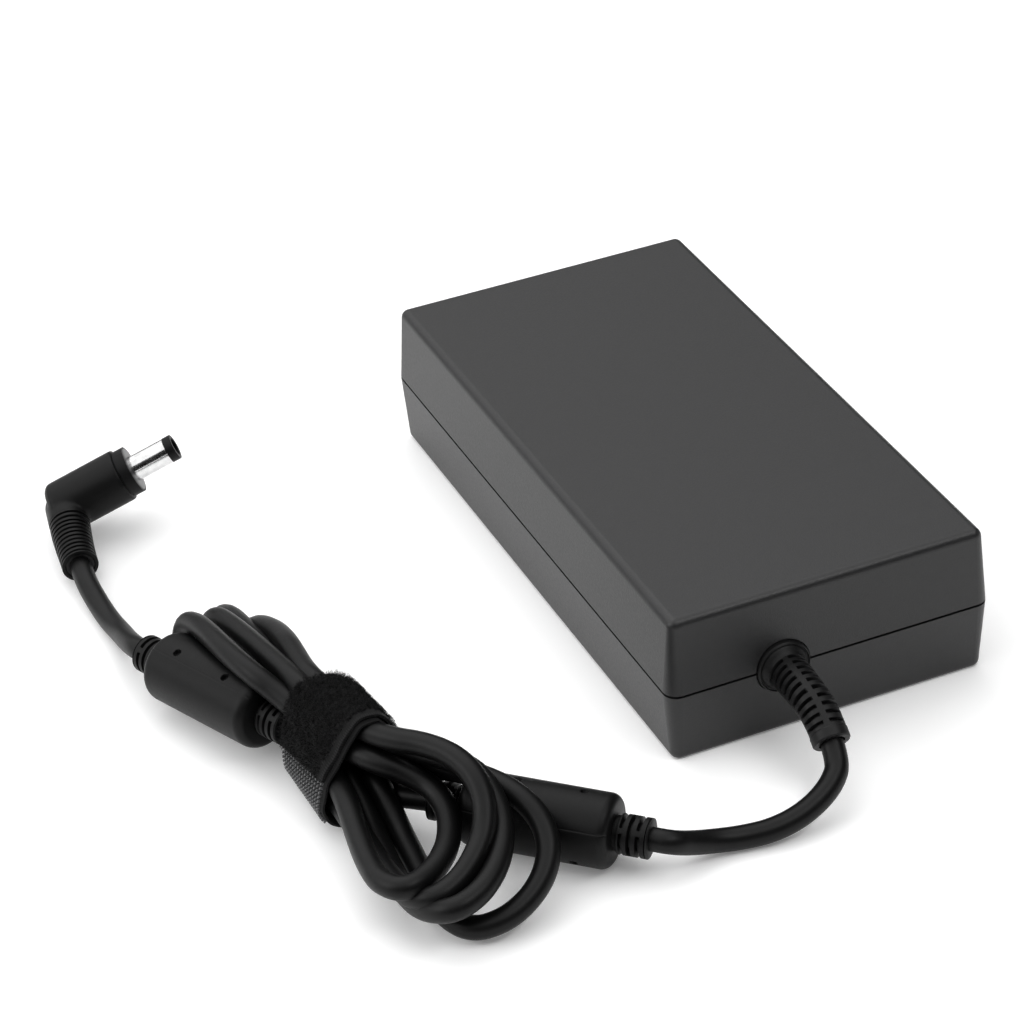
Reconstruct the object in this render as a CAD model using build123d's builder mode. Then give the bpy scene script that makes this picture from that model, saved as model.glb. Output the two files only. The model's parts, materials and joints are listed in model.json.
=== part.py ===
from build123d import *
import math
import os

os.makedirs("parts", exist_ok=True)

# ---------------------------------------------------------------- driving dimensions (mm)
CASE_W = 92.0          # across, along X, at the parting line
CASE_L = 180.0         # along Y, at the parting line
CASE_H = 42.6
PARTING_Z = 20.7
TOP_DRAFT = 1.7        # how far each side leans in between the parting line and the top
BOTTOM_DRAFT = 1.5
CORNER_R = 3.8
TOP_EDGE_R = 2.4
BOTTOM_EDGE_R = 1.9
WALL = 2.4
GROOVE = 0.7           # width of the groove round the parting line
TONGUE_H = 1.6
TONGUE_T = 0.8

GLAND_X = -14.0        # the output cord's strain relief
GLAND_Z = PARTING_Z
GLAND_D = 15.4
GLAND_PROUD = 0.9
SLEEVE_D = 9.8
SLEEVE_RIB_D = 10.6
SLEEVE_RIBS = 10

CORD_D = 6.1
CORD_R = CORD_D / 2

FERRITE_D = 18.9
FERRITE_NECK_D = 9.0
FERRITE_RELIEF_D = 10.2
FERRITE_RELIEF_L = 9.0
FERRITE_CORE_D = 15.0
FERRITE_EDGE_R = 3.0

BARREL_D = 7.4         # the standard round DC plug with a centre pin
BARREL_BORE_D = 5.0
BARREL_L = 11.05
TIP_L = 2.4
PIN_D = 0.9
PLUG_BODY_D = 15.3
PLUG_BODY_L = 22.3
COLLAR_D = 13.8
COLLAR_L = 3.1
NECK_D = 11.0

STRAP_W = 25.0
STRAP_T = 2.4
TAB_T = 1.6
TAB_GAP = 0.25

INLET_W = 24.4         # mouth of the three-pin mains inlet
INLET_H = 16.8
INLET_WALL = 1.5
INLET_DEPTH = 17.0
INLET_Z = 21.5
INLET_BACK_T = 3.0

BOARD_W = 82.0
BOARD_L = 146.0
BOARD_Y = -9.0
BOARD_Z = 6.2
BOARD_T = 1.6
BOARD_TOP = BOARD_Z + BOARD_T
POST_X = 37.0
POST_D = 6.5
SCREW_D = 2.6
SCREW_Y = 68.0         # board screws, each way from the board's middle
SCREW_PLACES = [
    (POST_X, BOARD_Y + SCREW_Y),
    (-POST_X, BOARD_Y + SCREW_Y),
    (POST_X, BOARD_Y - SCREW_Y),
    (-POST_X, BOARD_Y - SCREW_Y),
]


def direction(start, end):
    """Unit vector from one point to another."""
    return (Vector(*end) - Vector(*start)).normalized()


def along(start, way, distance):
    """The point that lies a distance from a start point."""
    return Vector(*start) + way * distance


# ---------------------------------------------------------------- routes (mm, row frame)
# Two ferrite chokes, each from the end towards the hank to the end away from it.
NEAR_FERRITE = ((-102.6, -91.5, 9.6), (-74.3, -118.3, 9.6))
FAR_FERRITE = ((-135.2, -40.2, 14.5), (-149.2, -2.9, 11.4))
near_way = direction(*NEAR_FERRITE)
far_way = direction(*FAR_FERRITE)
near_out = along(NEAR_FERRITE[1], near_way, FERRITE_RELIEF_L)
far_out = along(FAR_FERRITE[1], far_way, FERRITE_RELIEF_L)

# The strain relief's own line, out of the case and drooping a little.
SLEEVE_ROUTE = [
    (GLAND_X, -CASE_L / 2, GLAND_Z),
    (-13.9, -100.5, 20.4),
    (-13.2, -109.2, 17.6),
    (-13.9, -115.6, 13.6),
]

# From the strain relief down to the floor and along it to the near ferrite.
CASE_SIDE_ROUTE = [
    (-13.90, -115.60, 13.60),
    (-14.38, -120.00, 10.85),
    (-18.00, -123.80, 8.70),
    (-23.30, -126.50, 6.70),
    (-30.00, -128.30, 5.00),
    (-37.50, -128.40, 3.70),
    (-45.00, -126.80, 3.20),
    (-51.50, -125.80, 3.90),
    (-58.50, -126.60, 6.40),
    (-64.21, -127.86, 9.60),
    (near_out.X, near_out.Y, near_out.Z),
]

# From the far ferrite along the floor to the plug.
PLUG_SIDE_ROUTE = [
    (far_out.X, far_out.Y, far_out.Z),
    (-153.75, 9.23, 10.40),
    (-153.90, 16.50, 7.90),
    (-153.40, 25.00, 5.10),
    (-153.90, 34.50, 3.50),
    (-154.20, 44.00, 3.70),
    (-154.52, 53.59, 5.43),
    (-153.69, 60.01, 6.00),
]

# The plug: its body's rear end, the way its barrel points, and its relief's line.
PLUG_REAR = (-152.3, 86.5, 8.2)
BARREL_POINT = (-116.6, 78.2, 24.2)
NECK_ROUTE = [(-149.3, 85.8, 9.6), (-150.6, 78.7, 8.6), (-152.4, 70.1, 6.9), (-153.7, 60.0, 6.0)]
barrel_way = direction(PLUG_REAR, BARREL_POINT)

# The hank's waist, where the strap goes round it.
WAIST = (-125.2, -63.2, 16.9)
WAIST_W = 20.6
WAIST_H = 28.4
WAIST_R = 9.0


def bend_radii(points):
    """As large an arc at each corner as its two runs allow."""
    radii = []
    for before, here, after in zip(points, points[1:], points[2:]):
        first = Vector(*here) - Vector(*before)
        second = Vector(*after) - Vector(*here)
        half_turn = math.radians(first.get_angle(second)) / 2
        radii.append(0.45 * min(first.length, second.length) / math.tan(half_turn))
    return radii


def cord_path(points):
    return FilletPolyline(*points, radius=bend_radii(points))


# ---------------------------------------------------------------- case
with BuildPart() as case_bottom:
    with BuildSketch(Plane.XY.offset(PARTING_Z)):
        RectangleRounded(CASE_W, CASE_L, CORNER_R)
    extrude(amount=-PARTING_Z, taper=math.degrees(math.atan(BOTTOM_DRAFT / PARTING_Z)))
    fillet(case_bottom.faces().sort_by(Axis.Z)[0].edges(), BOTTOM_EDGE_R)
    with BuildSketch(Plane.XY.offset(PARTING_Z)):
        RectangleRounded(CASE_W - 2 * WALL, CASE_L - 2 * WALL, CORNER_R - 1.2)
    extrude(amount=-(PARTING_Z - WALL), taper=4.1, mode=Mode.SUBTRACT)
    with BuildSketch(Plane.XY.offset(PARTING_Z)):
        RectangleRounded(CASE_W + 1, CASE_L + 1, CORNER_R)
        RectangleRounded(CASE_W - 2 * TONGUE_T, CASE_L - 2 * TONGUE_T, CORNER_R - 0.8, mode=Mode.SUBTRACT)
    extrude(amount=-GROOVE / 2, mode=Mode.SUBTRACT)
    with BuildSketch(Plane.XY.offset(PARTING_Z)):
        RectangleRounded(CASE_W - 2 * TONGUE_T, CASE_L - 2 * TONGUE_T, CORNER_R - 0.8)
        RectangleRounded(CASE_W - 4 * TONGUE_T, CASE_L - 4 * TONGUE_T, CORNER_R - 1.0, mode=Mode.SUBTRACT)
    extrude(amount=TONGUE_H)
    with BuildSketch(Plane.XY.offset(WALL - 0.1)):
        with Locations(*SCREW_PLACES):
            Circle(POST_D / 2)
        with Locations((0, BOARD_Y + 40), (0, BOARD_Y - 40)):
            Rectangle(60, 1.5)
    extrude(amount=1.1)
    with BuildSketch(Plane.XY.offset(WALL)):
        with Locations(*SCREW_PLACES):
            Circle(POST_D / 2)
    extrude(amount=BOARD_Z - WALL)
    with BuildSketch(Plane.XY.offset(BOARD_Z)):
        with Locations(*SCREW_PLACES):
            Circle(SCREW_D / 2)
    extrude(amount=-5.0, mode=Mode.SUBTRACT)
    with BuildSketch(Plane.XY):
        RectangleRounded(62, 120, 3)
    extrude(amount=0.3, mode=Mode.SUBTRACT)
    with BuildSketch(Plane.XZ.offset(CASE_L / 2 + 2)):
        with Locations((GLAND_X, GLAND_Z)):
            Circle(GLAND_D / 2)
    extrude(amount=-8, mode=Mode.SUBTRACT)
    with BuildSketch(Plane.XZ.offset(-CASE_L / 2 - 2)):
        with Locations((0, INLET_Z)):
            Rectangle(INLET_W + 2 * INLET_WALL, INLET_H + 2 * INLET_WALL)
    extrude(amount=8, mode=Mode.SUBTRACT)
case_bottom.part.label = "case_bottom"
export_step(case_bottom.part, "parts/case_bottom.step")

with BuildPart() as case_top:
    with BuildSketch(Plane.XY.offset(PARTING_Z)):
        RectangleRounded(CASE_W, CASE_L, CORNER_R)
    extrude(amount=CASE_H - PARTING_Z, taper=math.degrees(math.atan(TOP_DRAFT / (CASE_H - PARTING_Z))))
    fillet(case_top.faces().sort_by(Axis.Z)[-1].edges(), TOP_EDGE_R)
    with BuildSketch(Plane.XY.offset(PARTING_Z)):
        RectangleRounded(CASE_W - 2 * WALL, CASE_L - 2 * WALL, CORNER_R - 1.2)
    extrude(amount=CASE_H - PARTING_Z - WALL, taper=4.4, mode=Mode.SUBTRACT)
    with BuildSketch(Plane.XY.offset(PARTING_Z)):
        RectangleRounded(CASE_W - 2 * TONGUE_T, CASE_L - 2 * TONGUE_T, CORNER_R - 0.8)
    extrude(amount=TONGUE_H, mode=Mode.SUBTRACT)
    with BuildSketch(Plane.XY.offset(PARTING_Z)):
        RectangleRounded(CASE_W + 1, CASE_L + 1, CORNER_R)
    extrude(amount=GROOVE / 2, mode=Mode.SUBTRACT)
    with BuildSketch(Plane.XZ.offset(CASE_L / 2 + 2)):
        with Locations((GLAND_X, GLAND_Z)):
            Circle(GLAND_D / 2)
    extrude(amount=-8, mode=Mode.SUBTRACT)
    with BuildSketch(Plane.XZ.offset(-CASE_L / 2 - 2)):
        with Locations((0, INLET_Z)):
            Rectangle(INLET_W + 2 * INLET_WALL, INLET_H + 2 * INLET_WALL)
    extrude(amount=8, mode=Mode.SUBTRACT)
case_top.part.label = "case_top"
export_step(case_top.part, "parts/case_top.step")

with BuildPart() as rating_label:
    with BuildSketch(Plane.XY.offset(0.05)):
        RectangleRounded(61.4, 119.4, 2.7)
    extrude(amount=0.25)
rating_label.part.label = "rating_label"
export_step(rating_label.part, "parts/rating_label.step")

# ---------------------------------------------------------------- mains inlet
INLET_FACE_Y = CASE_L / 2 - 0.4

with BuildPart() as inlet_housing:
    with BuildSketch(Plane.XZ.offset(-INLET_FACE_Y)):
        with Locations((0, INLET_Z)):
            RectangleRounded(INLET_W + 2 * INLET_WALL, INLET_H + 2 * INLET_WALL, 0.8)
    extrude(amount=INLET_DEPTH + INLET_BACK_T)
    with BuildSketch(Plane.XZ.offset(-INLET_FACE_Y)):
        with BuildLine():
            Polyline(
                (-INLET_W / 2, INLET_Z - INLET_H / 2),
                (INLET_W / 2, INLET_Z - INLET_H / 2),
                (INLET_W / 2, INLET_Z + INLET_H / 2 - 4.5),
                (INLET_W / 2 - 4.5, INLET_Z + INLET_H / 2),
                (-INLET_W / 2 + 4.5, INLET_Z + INLET_H / 2),
                (-INLET_W / 2, INLET_Z + INLET_H / 2 - 4.5),
                close=True,
            )
        make_face()
    extrude(amount=INLET_DEPTH, mode=Mode.SUBTRACT)
    with BuildSketch(Plane.XZ.offset(-INLET_FACE_Y)):
        with Locations((-7, INLET_Z - 2.4), (7, INLET_Z - 2.4), (0, INLET_Z + 2.4)):
            Rectangle(2, 4)
    extrude(amount=INLET_DEPTH + INLET_BACK_T, mode=Mode.SUBTRACT)
inlet_housing.part.label = "inlet_housing"
export_step(inlet_housing.part, "parts/inlet_housing.step")

with BuildPart() as inlet_pins:
    with BuildSketch(Plane.XZ.offset(-INLET_FACE_Y + 3)):
        with Locations((-7, INLET_Z - 2.4), (7, INLET_Z - 2.4), (0, INLET_Z + 2.4)):
            Rectangle(2, 4)
    extrude(amount=INLET_DEPTH + INLET_BACK_T + 1)
    chamfer(inlet_pins.faces().group_by(Axis.Y)[-1].edges(), 0.4)
inlet_pins.part.label = "inlet_pins"
export_step(inlet_pins.part, "parts/inlet_pins.step")

# ---------------------------------------------------------------- board and shields
with BuildPart() as circuit_board:
    with BuildSketch(Plane.XY.offset(BOARD_Z)):
        with Locations((0, BOARD_Y)):
            RectangleRounded(BOARD_W, BOARD_L, 2)
        with Locations(*SCREW_PLACES):
            Circle(1.6, mode=Mode.SUBTRACT)
    extrude(amount=BOARD_T)
circuit_board.part.label = "circuit_board"
export_step(circuit_board.part, "parts/circuit_board.step")

with BuildPart() as board_screws:
    with Locations(*[(x, y, BOARD_TOP) for x, y in SCREW_PLACES]):
        Cylinder(2.6, 1.8, align=(Align.CENTER, Align.CENTER, Align.MIN))
        Cylinder(SCREW_D / 2 - 0.05, 5.5, align=(Align.CENTER, Align.CENTER, Align.MAX))
board_screws.part.label = "board_screws"
export_step(board_screws.part, "parts/board_screws.step")

with BuildPart() as bottom_shield:
    with BuildSketch(Plane.XY.offset(WALL + 1.0)):
        with Locations((0, BOARD_Y)):
            Rectangle(66, 134)
    extrude(amount=0.5)
bottom_shield.part.label = "bottom_shield"
export_step(bottom_shield.part, "parts/bottom_shield.step")

with BuildPart() as insulating_sheet:
    with BuildSketch(Plane.XY.offset(WALL + 1.5)):
        with Locations((0, BOARD_Y)):
            Rectangle(67, 140)
    extrude(amount=0.4)
insulating_sheet.part.label = "insulating_sheet"
export_step(insulating_sheet.part, "parts/insulating_sheet.step")

SHIELD_W = 81.0
SHIELD_TOP_Z = 39.4

with BuildPart() as top_shield:
    with BuildSketch(Plane.XZ.offset(-BOARD_Y - 60)):
        with Locations((0, (BOARD_TOP + SHIELD_TOP_Z) / 2)):
            Rectangle(SHIELD_W, SHIELD_TOP_Z - BOARD_TOP)
        with Locations((0, (BOARD_TOP + SHIELD_TOP_Z) / 2 - 0.5)):
            Rectangle(SHIELD_W - 1, SHIELD_TOP_Z - BOARD_TOP, mode=Mode.SUBTRACT)
    extrude(amount=120)
top_shield.part.label = "top_shield"
export_step(top_shield.part, "parts/top_shield.step")

# ---------------------------------------------------------------- mains side of the board
with BuildPart() as fuse:
    with BuildSketch(Plane.XZ.offset(-50)):
        with Locations((28, BOARD_TOP + 3.2)):
            Circle(2.6)
    extrude(amount=10, both=True)
    with BuildSketch(Plane.XZ.offset(-60)):
        with Locations((28, BOARD_TOP + 3.2)):
            Circle(3.2)
    extrude(amount=5)
    with BuildSketch(Plane.XZ.offset(-40)):
        with Locations((28, BOARD_TOP + 3.2)):
            Circle(3.2)
    extrude(amount=-5)
fuse.part.label = "fuse"
export_step(fuse.part, "parts/fuse.step")

with BuildPart() as line_capacitor:
    with BuildSketch(Plane.XY.offset(BOARD_TOP)):
        with Locations((-24, 53)):
            Rectangle(20, 13)
    extrude(amount=19)
    fillet(line_capacitor.edges().filter_by(Axis.Z), 1)
line_capacitor.part.label = "line_capacitor"
export_step(line_capacitor.part, "parts/line_capacitor.step")

with BuildPart() as line_choke_core:
    with Locations((4, 44, BOARD_TOP + 10)):
        Cylinder(12, 12)
        Cylinder(6.5, 12, mode=Mode.SUBTRACT)
line_choke_core.part.label = "line_choke_core"
export_step(line_choke_core.part, "parts/line_choke_core.step")

with BuildPart() as line_choke_windings:
    for side in (0, 180):
        with BuildSketch(Plane.XY.offset(BOARD_TOP)):
            with Locations((4, 44)):
                Circle(14)
                Circle(4.5, mode=Mode.SUBTRACT)
                with Locations(Location((0, 0, 0), (0, 0, side))):
                    with Locations((0, -10)):
                        Rectangle(40, 28, mode=Mode.INTERSECT)
        extrude(amount=20)
    with BuildSketch(Plane.XY.offset(BOARD_TOP)):
        with Locations((4, 44)):
            Rectangle(40, 8)
    extrude(amount=22, mode=Mode.SUBTRACT)
    with Locations((4, 44, BOARD_TOP + 10)):
        Cylinder(12, 12, mode=Mode.SUBTRACT)
line_choke_windings.part.label = "line_choke_windings"
export_step(line_choke_windings.part, "parts/line_choke_windings.step")

with BuildPart() as bridge_rectifier:
    with BuildSketch(Plane.XY.offset(BOARD_TOP + 3)):
        with Locations((-27, 40)):
            Rectangle(22, 4.6)
    extrude(amount=17)
    with BuildSketch(Plane.XY.offset(BOARD_TOP)):
        with Locations((-34.5, 40), (-29.5, 40), (-24.5, 40), (-19.5, 40)):
            Rectangle(1.2, 0.8)
    extrude(amount=3)
bridge_rectifier.part.label = "bridge_rectifier"
export_step(bridge_rectifier.part, "parts/bridge_rectifier.step")

with BuildPart() as boost_coil_core:
    with BuildSketch(Plane.XZ.offset(-18)):
        with Locations((20, BOARD_TOP + 13)):
            Rectangle(30, 24)
        with Locations((11.5, BOARD_TOP + 13), (28.5, BOARD_TOP + 13)):
            Rectangle(7, 16, mode=Mode.SUBTRACT)
    extrude(amount=8, both=True)
boost_coil_core.part.label = "boost_coil_core"
export_step(boost_coil_core.part, "parts/boost_coil_core.step")

with BuildPart() as boost_coil_winding:
    with BuildSketch(Plane.XY.offset(BOARD_TOP + 5.3)):
        with Locations((20, 18)):
            RectangleRounded(23.6, 27, 5)
            Rectangle(10, 16, mode=Mode.SUBTRACT)
    extrude(amount=15.4)
boost_coil_winding.part.label = "boost_coil_winding"
export_step(boost_coil_winding.part, "parts/boost_coil_winding.step")

with BuildPart() as bulk_capacitor:
    with BuildSketch(Plane.XZ.offset(-34)):
        with Locations((-20, BOARD_TOP + 12.5)):
            Circle(12.5)
    extrude(amount=36)
    fillet(bulk_capacitor.edges().filter_by(GeomType.CIRCLE), 1.2)
bulk_capacitor.part.label = "bulk_capacitor"
export_step(bulk_capacitor.part, "parts/bulk_capacitor.step")

with BuildPart() as suppression_capacitors:
    for y in (24, 33):
        with BuildSketch(Plane.YZ.offset(39.5)):
            with Locations((y, BOARD_TOP + 6)):
                Circle(4)
        extrude(amount=-3)
suppression_capacitors.part.label = "suppression_capacitors"
export_step(suppression_capacitors.part, "parts/suppression_capacitors.step")

# ---------------------------------------------------------------- power stage
with BuildPart() as primary_heat_sink:
    with BuildSketch(Plane.XY.offset(BOARD_TOP)):
        with Locations((-38, 8)):
            Rectangle(2.5, 52)
        with Locations((-35.5, -17)):
            Rectangle(5, 2)
    extrude(amount=27)
    with BuildSketch(Plane.YZ.offset(-36.75)):
        with Locations((24, BOARD_TOP + 16), (4, BOARD_TOP + 16)):
            Circle(1.6)
    extrude(amount=-2.5, mode=Mode.SUBTRACT)
primary_heat_sink.part.label = "primary_heat_sink"
export_step(primary_heat_sink.part, "parts/primary_heat_sink.step")

with BuildPart() as primary_transistors:
    for y in (24, 4):
        with BuildSketch(Plane.YZ.offset(-36.75)):
            with Locations((y, BOARD_TOP + 12)):
                Rectangle(9.8, 14)
            with Locations((y, BOARD_TOP + 16)):
                Circle(1.6, mode=Mode.SUBTRACT)
        extrude(amount=3.6)
primary_transistors.part.label = "primary_transistors"
export_step(primary_transistors.part, "parts/primary_transistors.step")

with BuildPart() as heat_sink_screws:
    for y in (24, 4):
        with BuildSketch(Plane.YZ.offset(-39.25)):
            with Locations((y, BOARD_TOP + 16)):
                Circle(1.5)
        extrude(amount=6.1)
        with BuildSketch(Plane.YZ.offset(-33.15)):
            with Locations((y, BOARD_TOP + 16)):
                Circle(2.7)
        extrude(amount=0.6)
heat_sink_screws.part.label = "heat_sink_screws"
export_step(heat_sink_screws.part, "parts/heat_sink_screws.step")

TRANSFORMER = (4, -22)

with BuildPart() as transformer_core:
    with BuildSketch(Plane.XZ.offset(-TRANSFORMER[1])):
        with Locations((TRANSFORMER[0], BOARD_TOP + 15)):
            Rectangle(36, 27)
        with Locations((TRANSFORMER[0] - 10.5, BOARD_TOP + 15), (TRANSFORMER[0] + 10.5, BOARD_TOP + 15)):
            Rectangle(9, 18, mode=Mode.SUBTRACT)
    extrude(amount=9, both=True)
transformer_core.part.label = "transformer_core"
export_step(transformer_core.part, "parts/transformer_core.step")

with BuildPart() as transformer_bobbin:
    with BuildSketch(Plane.XY.offset(BOARD_TOP + 6)):
        with Locations(TRANSFORMER):
            RectangleRounded(29.6, 33, 4)
            Rectangle(12, 18, mode=Mode.SUBTRACT)
    extrude(amount=1.2)
    with BuildSketch(Plane.XY.offset(BOARD_TOP + 22.8)):
        with Locations(TRANSFORMER):
            RectangleRounded(29.6, 33, 4)
            Rectangle(12, 18, mode=Mode.SUBTRACT)
    extrude(amount=1.2)
    with BuildSketch(Plane.XY.offset(BOARD_TOP + 6)):
        with Locations(TRANSFORMER):
            Rectangle(13.6, 19.6)
            Rectangle(12, 18, mode=Mode.SUBTRACT)
    extrude(amount=18)
transformer_bobbin.part.label = "transformer_bobbin"
export_step(transformer_bobbin.part, "parts/transformer_bobbin.step")

with BuildPart() as transformer_winding:
    with BuildSketch(Plane.XY.offset(BOARD_TOP + 7.2)):
        with Locations(TRANSFORMER):
            RectangleRounded(28.6, 31.6, 4)
            Rectangle(13.6, 19.6, mode=Mode.SUBTRACT)
    extrude(amount=15.6)
transformer_winding.part.label = "transformer_winding"
export_step(transformer_winding.part, "parts/transformer_winding.step")

with BuildPart() as output_heat_sink:
    with BuildSketch(Plane.XY.offset(BOARD_TOP)):
        with Locations((37.5, -40)):
            Rectangle(2.5, 50)
        with Locations((35, -14)):
            Rectangle(7.5, 2)
    extrude(amount=27)
output_heat_sink.part.label = "output_heat_sink"
export_step(output_heat_sink.part, "parts/output_heat_sink.step")

with BuildPart() as output_rectifiers:
    for y in (-30, -48):
        with BuildSketch(Plane.YZ.offset(36.25)):
            with Locations((y, BOARD_TOP + 12)):
                Rectangle(9.8, 14)
        extrude(amount=-3.6)
output_rectifiers.part.label = "output_rectifiers"
export_step(output_rectifiers.part, "parts/output_rectifiers.step")

with BuildPart() as output_choke_core:
    with Locations((-22, -46, BOARD_TOP + 7)):
        Cylinder(8, 8)
        Cylinder(4.5, 8, mode=Mode.SUBTRACT)
output_choke_core.part.label = "output_choke_core"
export_step(output_choke_core.part, "parts/output_choke_core.step")

with BuildPart() as output_choke_winding:
    with Locations((-22, -46, BOARD_TOP + 7)):
        Cylinder(9.6, 14)
        Cylinder(2.9, 14, mode=Mode.SUBTRACT)
        Cylinder(8, 8, mode=Mode.SUBTRACT)
output_choke_winding.part.label = "output_choke_winding"
export_step(output_choke_winding.part, "parts/output_choke_winding.step")

with BuildPart() as output_capacitors:
    with BuildSketch(Plane.XY.offset(BOARD_TOP)):
        with Locations((-4, -58), (8, -58), (20, -58)):
            Circle(5)
    extrude(amount=20)
output_capacitors.part.label = "output_capacitors"
export_step(output_capacitors.part, "parts/output_capacitors.step")

with BuildPart() as control_chips:
    with BuildSketch(Plane.XY.offset(BOARD_TOP)):
        with Locations((-27, -61), (-27, -70)):
            Rectangle(9.8, 6.2)
        with Locations((-36.5, -32), (-36.5, -42)):
            Rectangle(4.6, 6.5)
    extrude(amount=3)
control_chips.part.label = "control_chips"
export_step(control_chips.part, "parts/control_chips.step")

with BuildPart() as thermal_pads:
    with BuildSketch(Plane.XY.offset(BOARD_TOP + 27)):
        with Locations((-37.5, 8)):
            Rectangle(5, 40)
        with Locations((37, -40)):
            Rectangle(5, 40)
    extrude(amount=SHIELD_TOP_Z - 0.5 - BOARD_TOP - 27)
thermal_pads.part.label = "thermal_pads"
export_step(thermal_pads.part, "parts/thermal_pads.step")

with BuildPart() as output_wires:
    for x, end_x in ((-17.5, -15.5), (-10.5, -12.5)):
        with BuildLine():
            FilletPolyline(
                (x, -70, BOARD_TOP),
                (x, -70, GLAND_Z),
                (end_x, -83.6, GLAND_Z),
                radius=4,
            )
        with BuildSketch(Plane((x, -70, BOARD_TOP), z_dir=(0, 0, 1))):
            Circle(1.3)
        sweep()
output_wires.part.label = "output_wires"
export_step(output_wires.part, "parts/output_wires.step")

# ---------------------------------------------------------------- strain relief at the case
with BuildPart() as strain_relief:
    with BuildSketch(Plane.XZ.offset(CASE_L / 2 + GLAND_PROUD)):
        with Locations((GLAND_X, GLAND_Z)):
            Circle(GLAND_D / 2)
    extrude(amount=-GLAND_PROUD - 1.8)
    fillet(strain_relief.faces().sort_by(Axis.Y)[0].edges(), 0.4)
    with BuildSketch(Plane.XZ.offset(CASE_L / 2 - 1.8)):
        with Locations((GLAND_X, GLAND_Z)):
            Circle(GLAND_D / 2 - 2)
    extrude(amount=-4.2)
    with BuildLine() as sleeve_line:
        FilletPolyline(*SLEEVE_ROUTE, radius=bend_radii(SLEEVE_ROUTE))
    with BuildSketch(Plane(SLEEVE_ROUTE[0], z_dir=direction(*SLEEVE_ROUTE[:2]))):
        Circle(SLEEVE_D / 2)
    sweep()
    for rib in range(1, SLEEVE_RIBS + 1):
        place = rib / SLEEVE_RIBS
        with BuildSketch(Plane(sleeve_line.line @ place, z_dir=sleeve_line.line % place)):
            Circle(SLEEVE_RIB_D / 2)
        extrude(amount=-1.3)
strain_relief.part.label = "strain_relief"
export_step(strain_relief.part, "parts/strain_relief.step")

# ---------------------------------------------------------------- cord tubes
with BuildPart() as cord_case_side:
    with BuildLine():
        cord_path(CASE_SIDE_ROUTE)
    with BuildSketch(Plane(CASE_SIDE_ROUTE[0], z_dir=direction(*CASE_SIDE_ROUTE[:2]))):
        Circle(CORD_R)
    sweep()
cord_case_side.part.label = "cord_case_side"
export_step(cord_case_side.part, "parts/cord_case_side.step")

with BuildPart() as cord_plug_side:
    with BuildLine():
        cord_path(PLUG_SIDE_ROUTE)
    with BuildSketch(Plane(PLUG_SIDE_ROUTE[0], z_dir=direction(*PLUG_SIDE_ROUTE[:2]))):
        Circle(CORD_R)
    sweep()
cord_plug_side.part.label = "cord_plug_side"
export_step(cord_plug_side.part, "parts/cord_plug_side.step")


# ---------------------------------------------------------------- ferrite chokes
def ferrite_parts(name, ends):
    """One choke: the ring core, the cover moulded over it with a relief at each end, and its cord."""
    length = Vector(*ends[0]).sub(Vector(*ends[1])).length
    middle = Plane((Vector(*ends[0]) + Vector(*ends[1])) * 0.5, z_dir=direction(*ends))
    whole = length + 2 * FERRITE_RELIEF_L

    with BuildPart(middle) as core:
        Cylinder(FERRITE_CORE_D / 2, length - 5)
        Cylinder(CORD_R, length, mode=Mode.SUBTRACT)
    core.part.label = name + "_core"
    export_step(core.part, "parts/" + name + "_core.step")

    with BuildPart(middle) as cover:
        Cylinder(FERRITE_D / 2, length)
        fillet(cover.edges().filter_by(GeomType.CIRCLE), FERRITE_EDGE_R)
        Cylinder(FERRITE_NECK_D / 2, whole)
        for side in (-1, 1):
            for step in range(3):
                with Locations((0, 0, side * (length / 2 + 1.9 + 3.0 * step))):
                    Cylinder(FERRITE_RELIEF_D / 2, 1.8)
        Cylinder(FERRITE_CORE_D / 2, length - 5, mode=Mode.SUBTRACT)
        Cylinder(CORD_R, whole + 2, mode=Mode.SUBTRACT)
    cover.part.label = name + "_cover"
    export_step(cover.part, "parts/" + name + "_cover.step")

    with BuildPart(middle) as inner_cord:
        Cylinder(CORD_R, whole)
    inner_cord.part.label = name + "_cord"
    export_step(inner_cord.part, "parts/" + name + "_cord.step")


ferrite_parts("near_ferrite", NEAR_FERRITE)
ferrite_parts("far_ferrite", FAR_FERRITE)

# ---------------------------------------------------------------- hank and its strap
# Each section: centre (x, y, z), width across, height.
LEFT_END = [
    ((-132.5, 15.5, 11.0), 16.0, 12.0),
    ((-133.0, 6.0, 12.0), 26.0, 21.0),
    ((-131.5, -22.0, 14.5), 27.0, 27.0),
]
RIGHT_END = [
    ((-114.0, -88.0, 15.5), 30.0, 28.0),
    ((-112.0, -105.0, 13.6), 42.0, 25.0),
    ((-112.0, -121.0, 9.6), 36.0, 17.0),
    ((-108.0, -132.0, 5.0), 18.0, 8.0),
]


def section_plane(centre):
    return Plane(centre, x_dir=(1, 0, 0), z_dir=(0, -1, 0))


def ferrite_plane(ends):
    return Plane((Vector(*ends[0]) + Vector(*ends[1])) * 0.5, z_dir=direction(*ends))


def ferrite_length(ends):
    return (Vector(*ends[1]) - Vector(*ends[0])).length


waist_plane = section_plane(WAIST)
waist_left = waist_plane.offset(-STRAP_W / 2)
waist_right = waist_plane.offset(STRAP_W / 2)
FERRITE_GAP = 0.1


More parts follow.
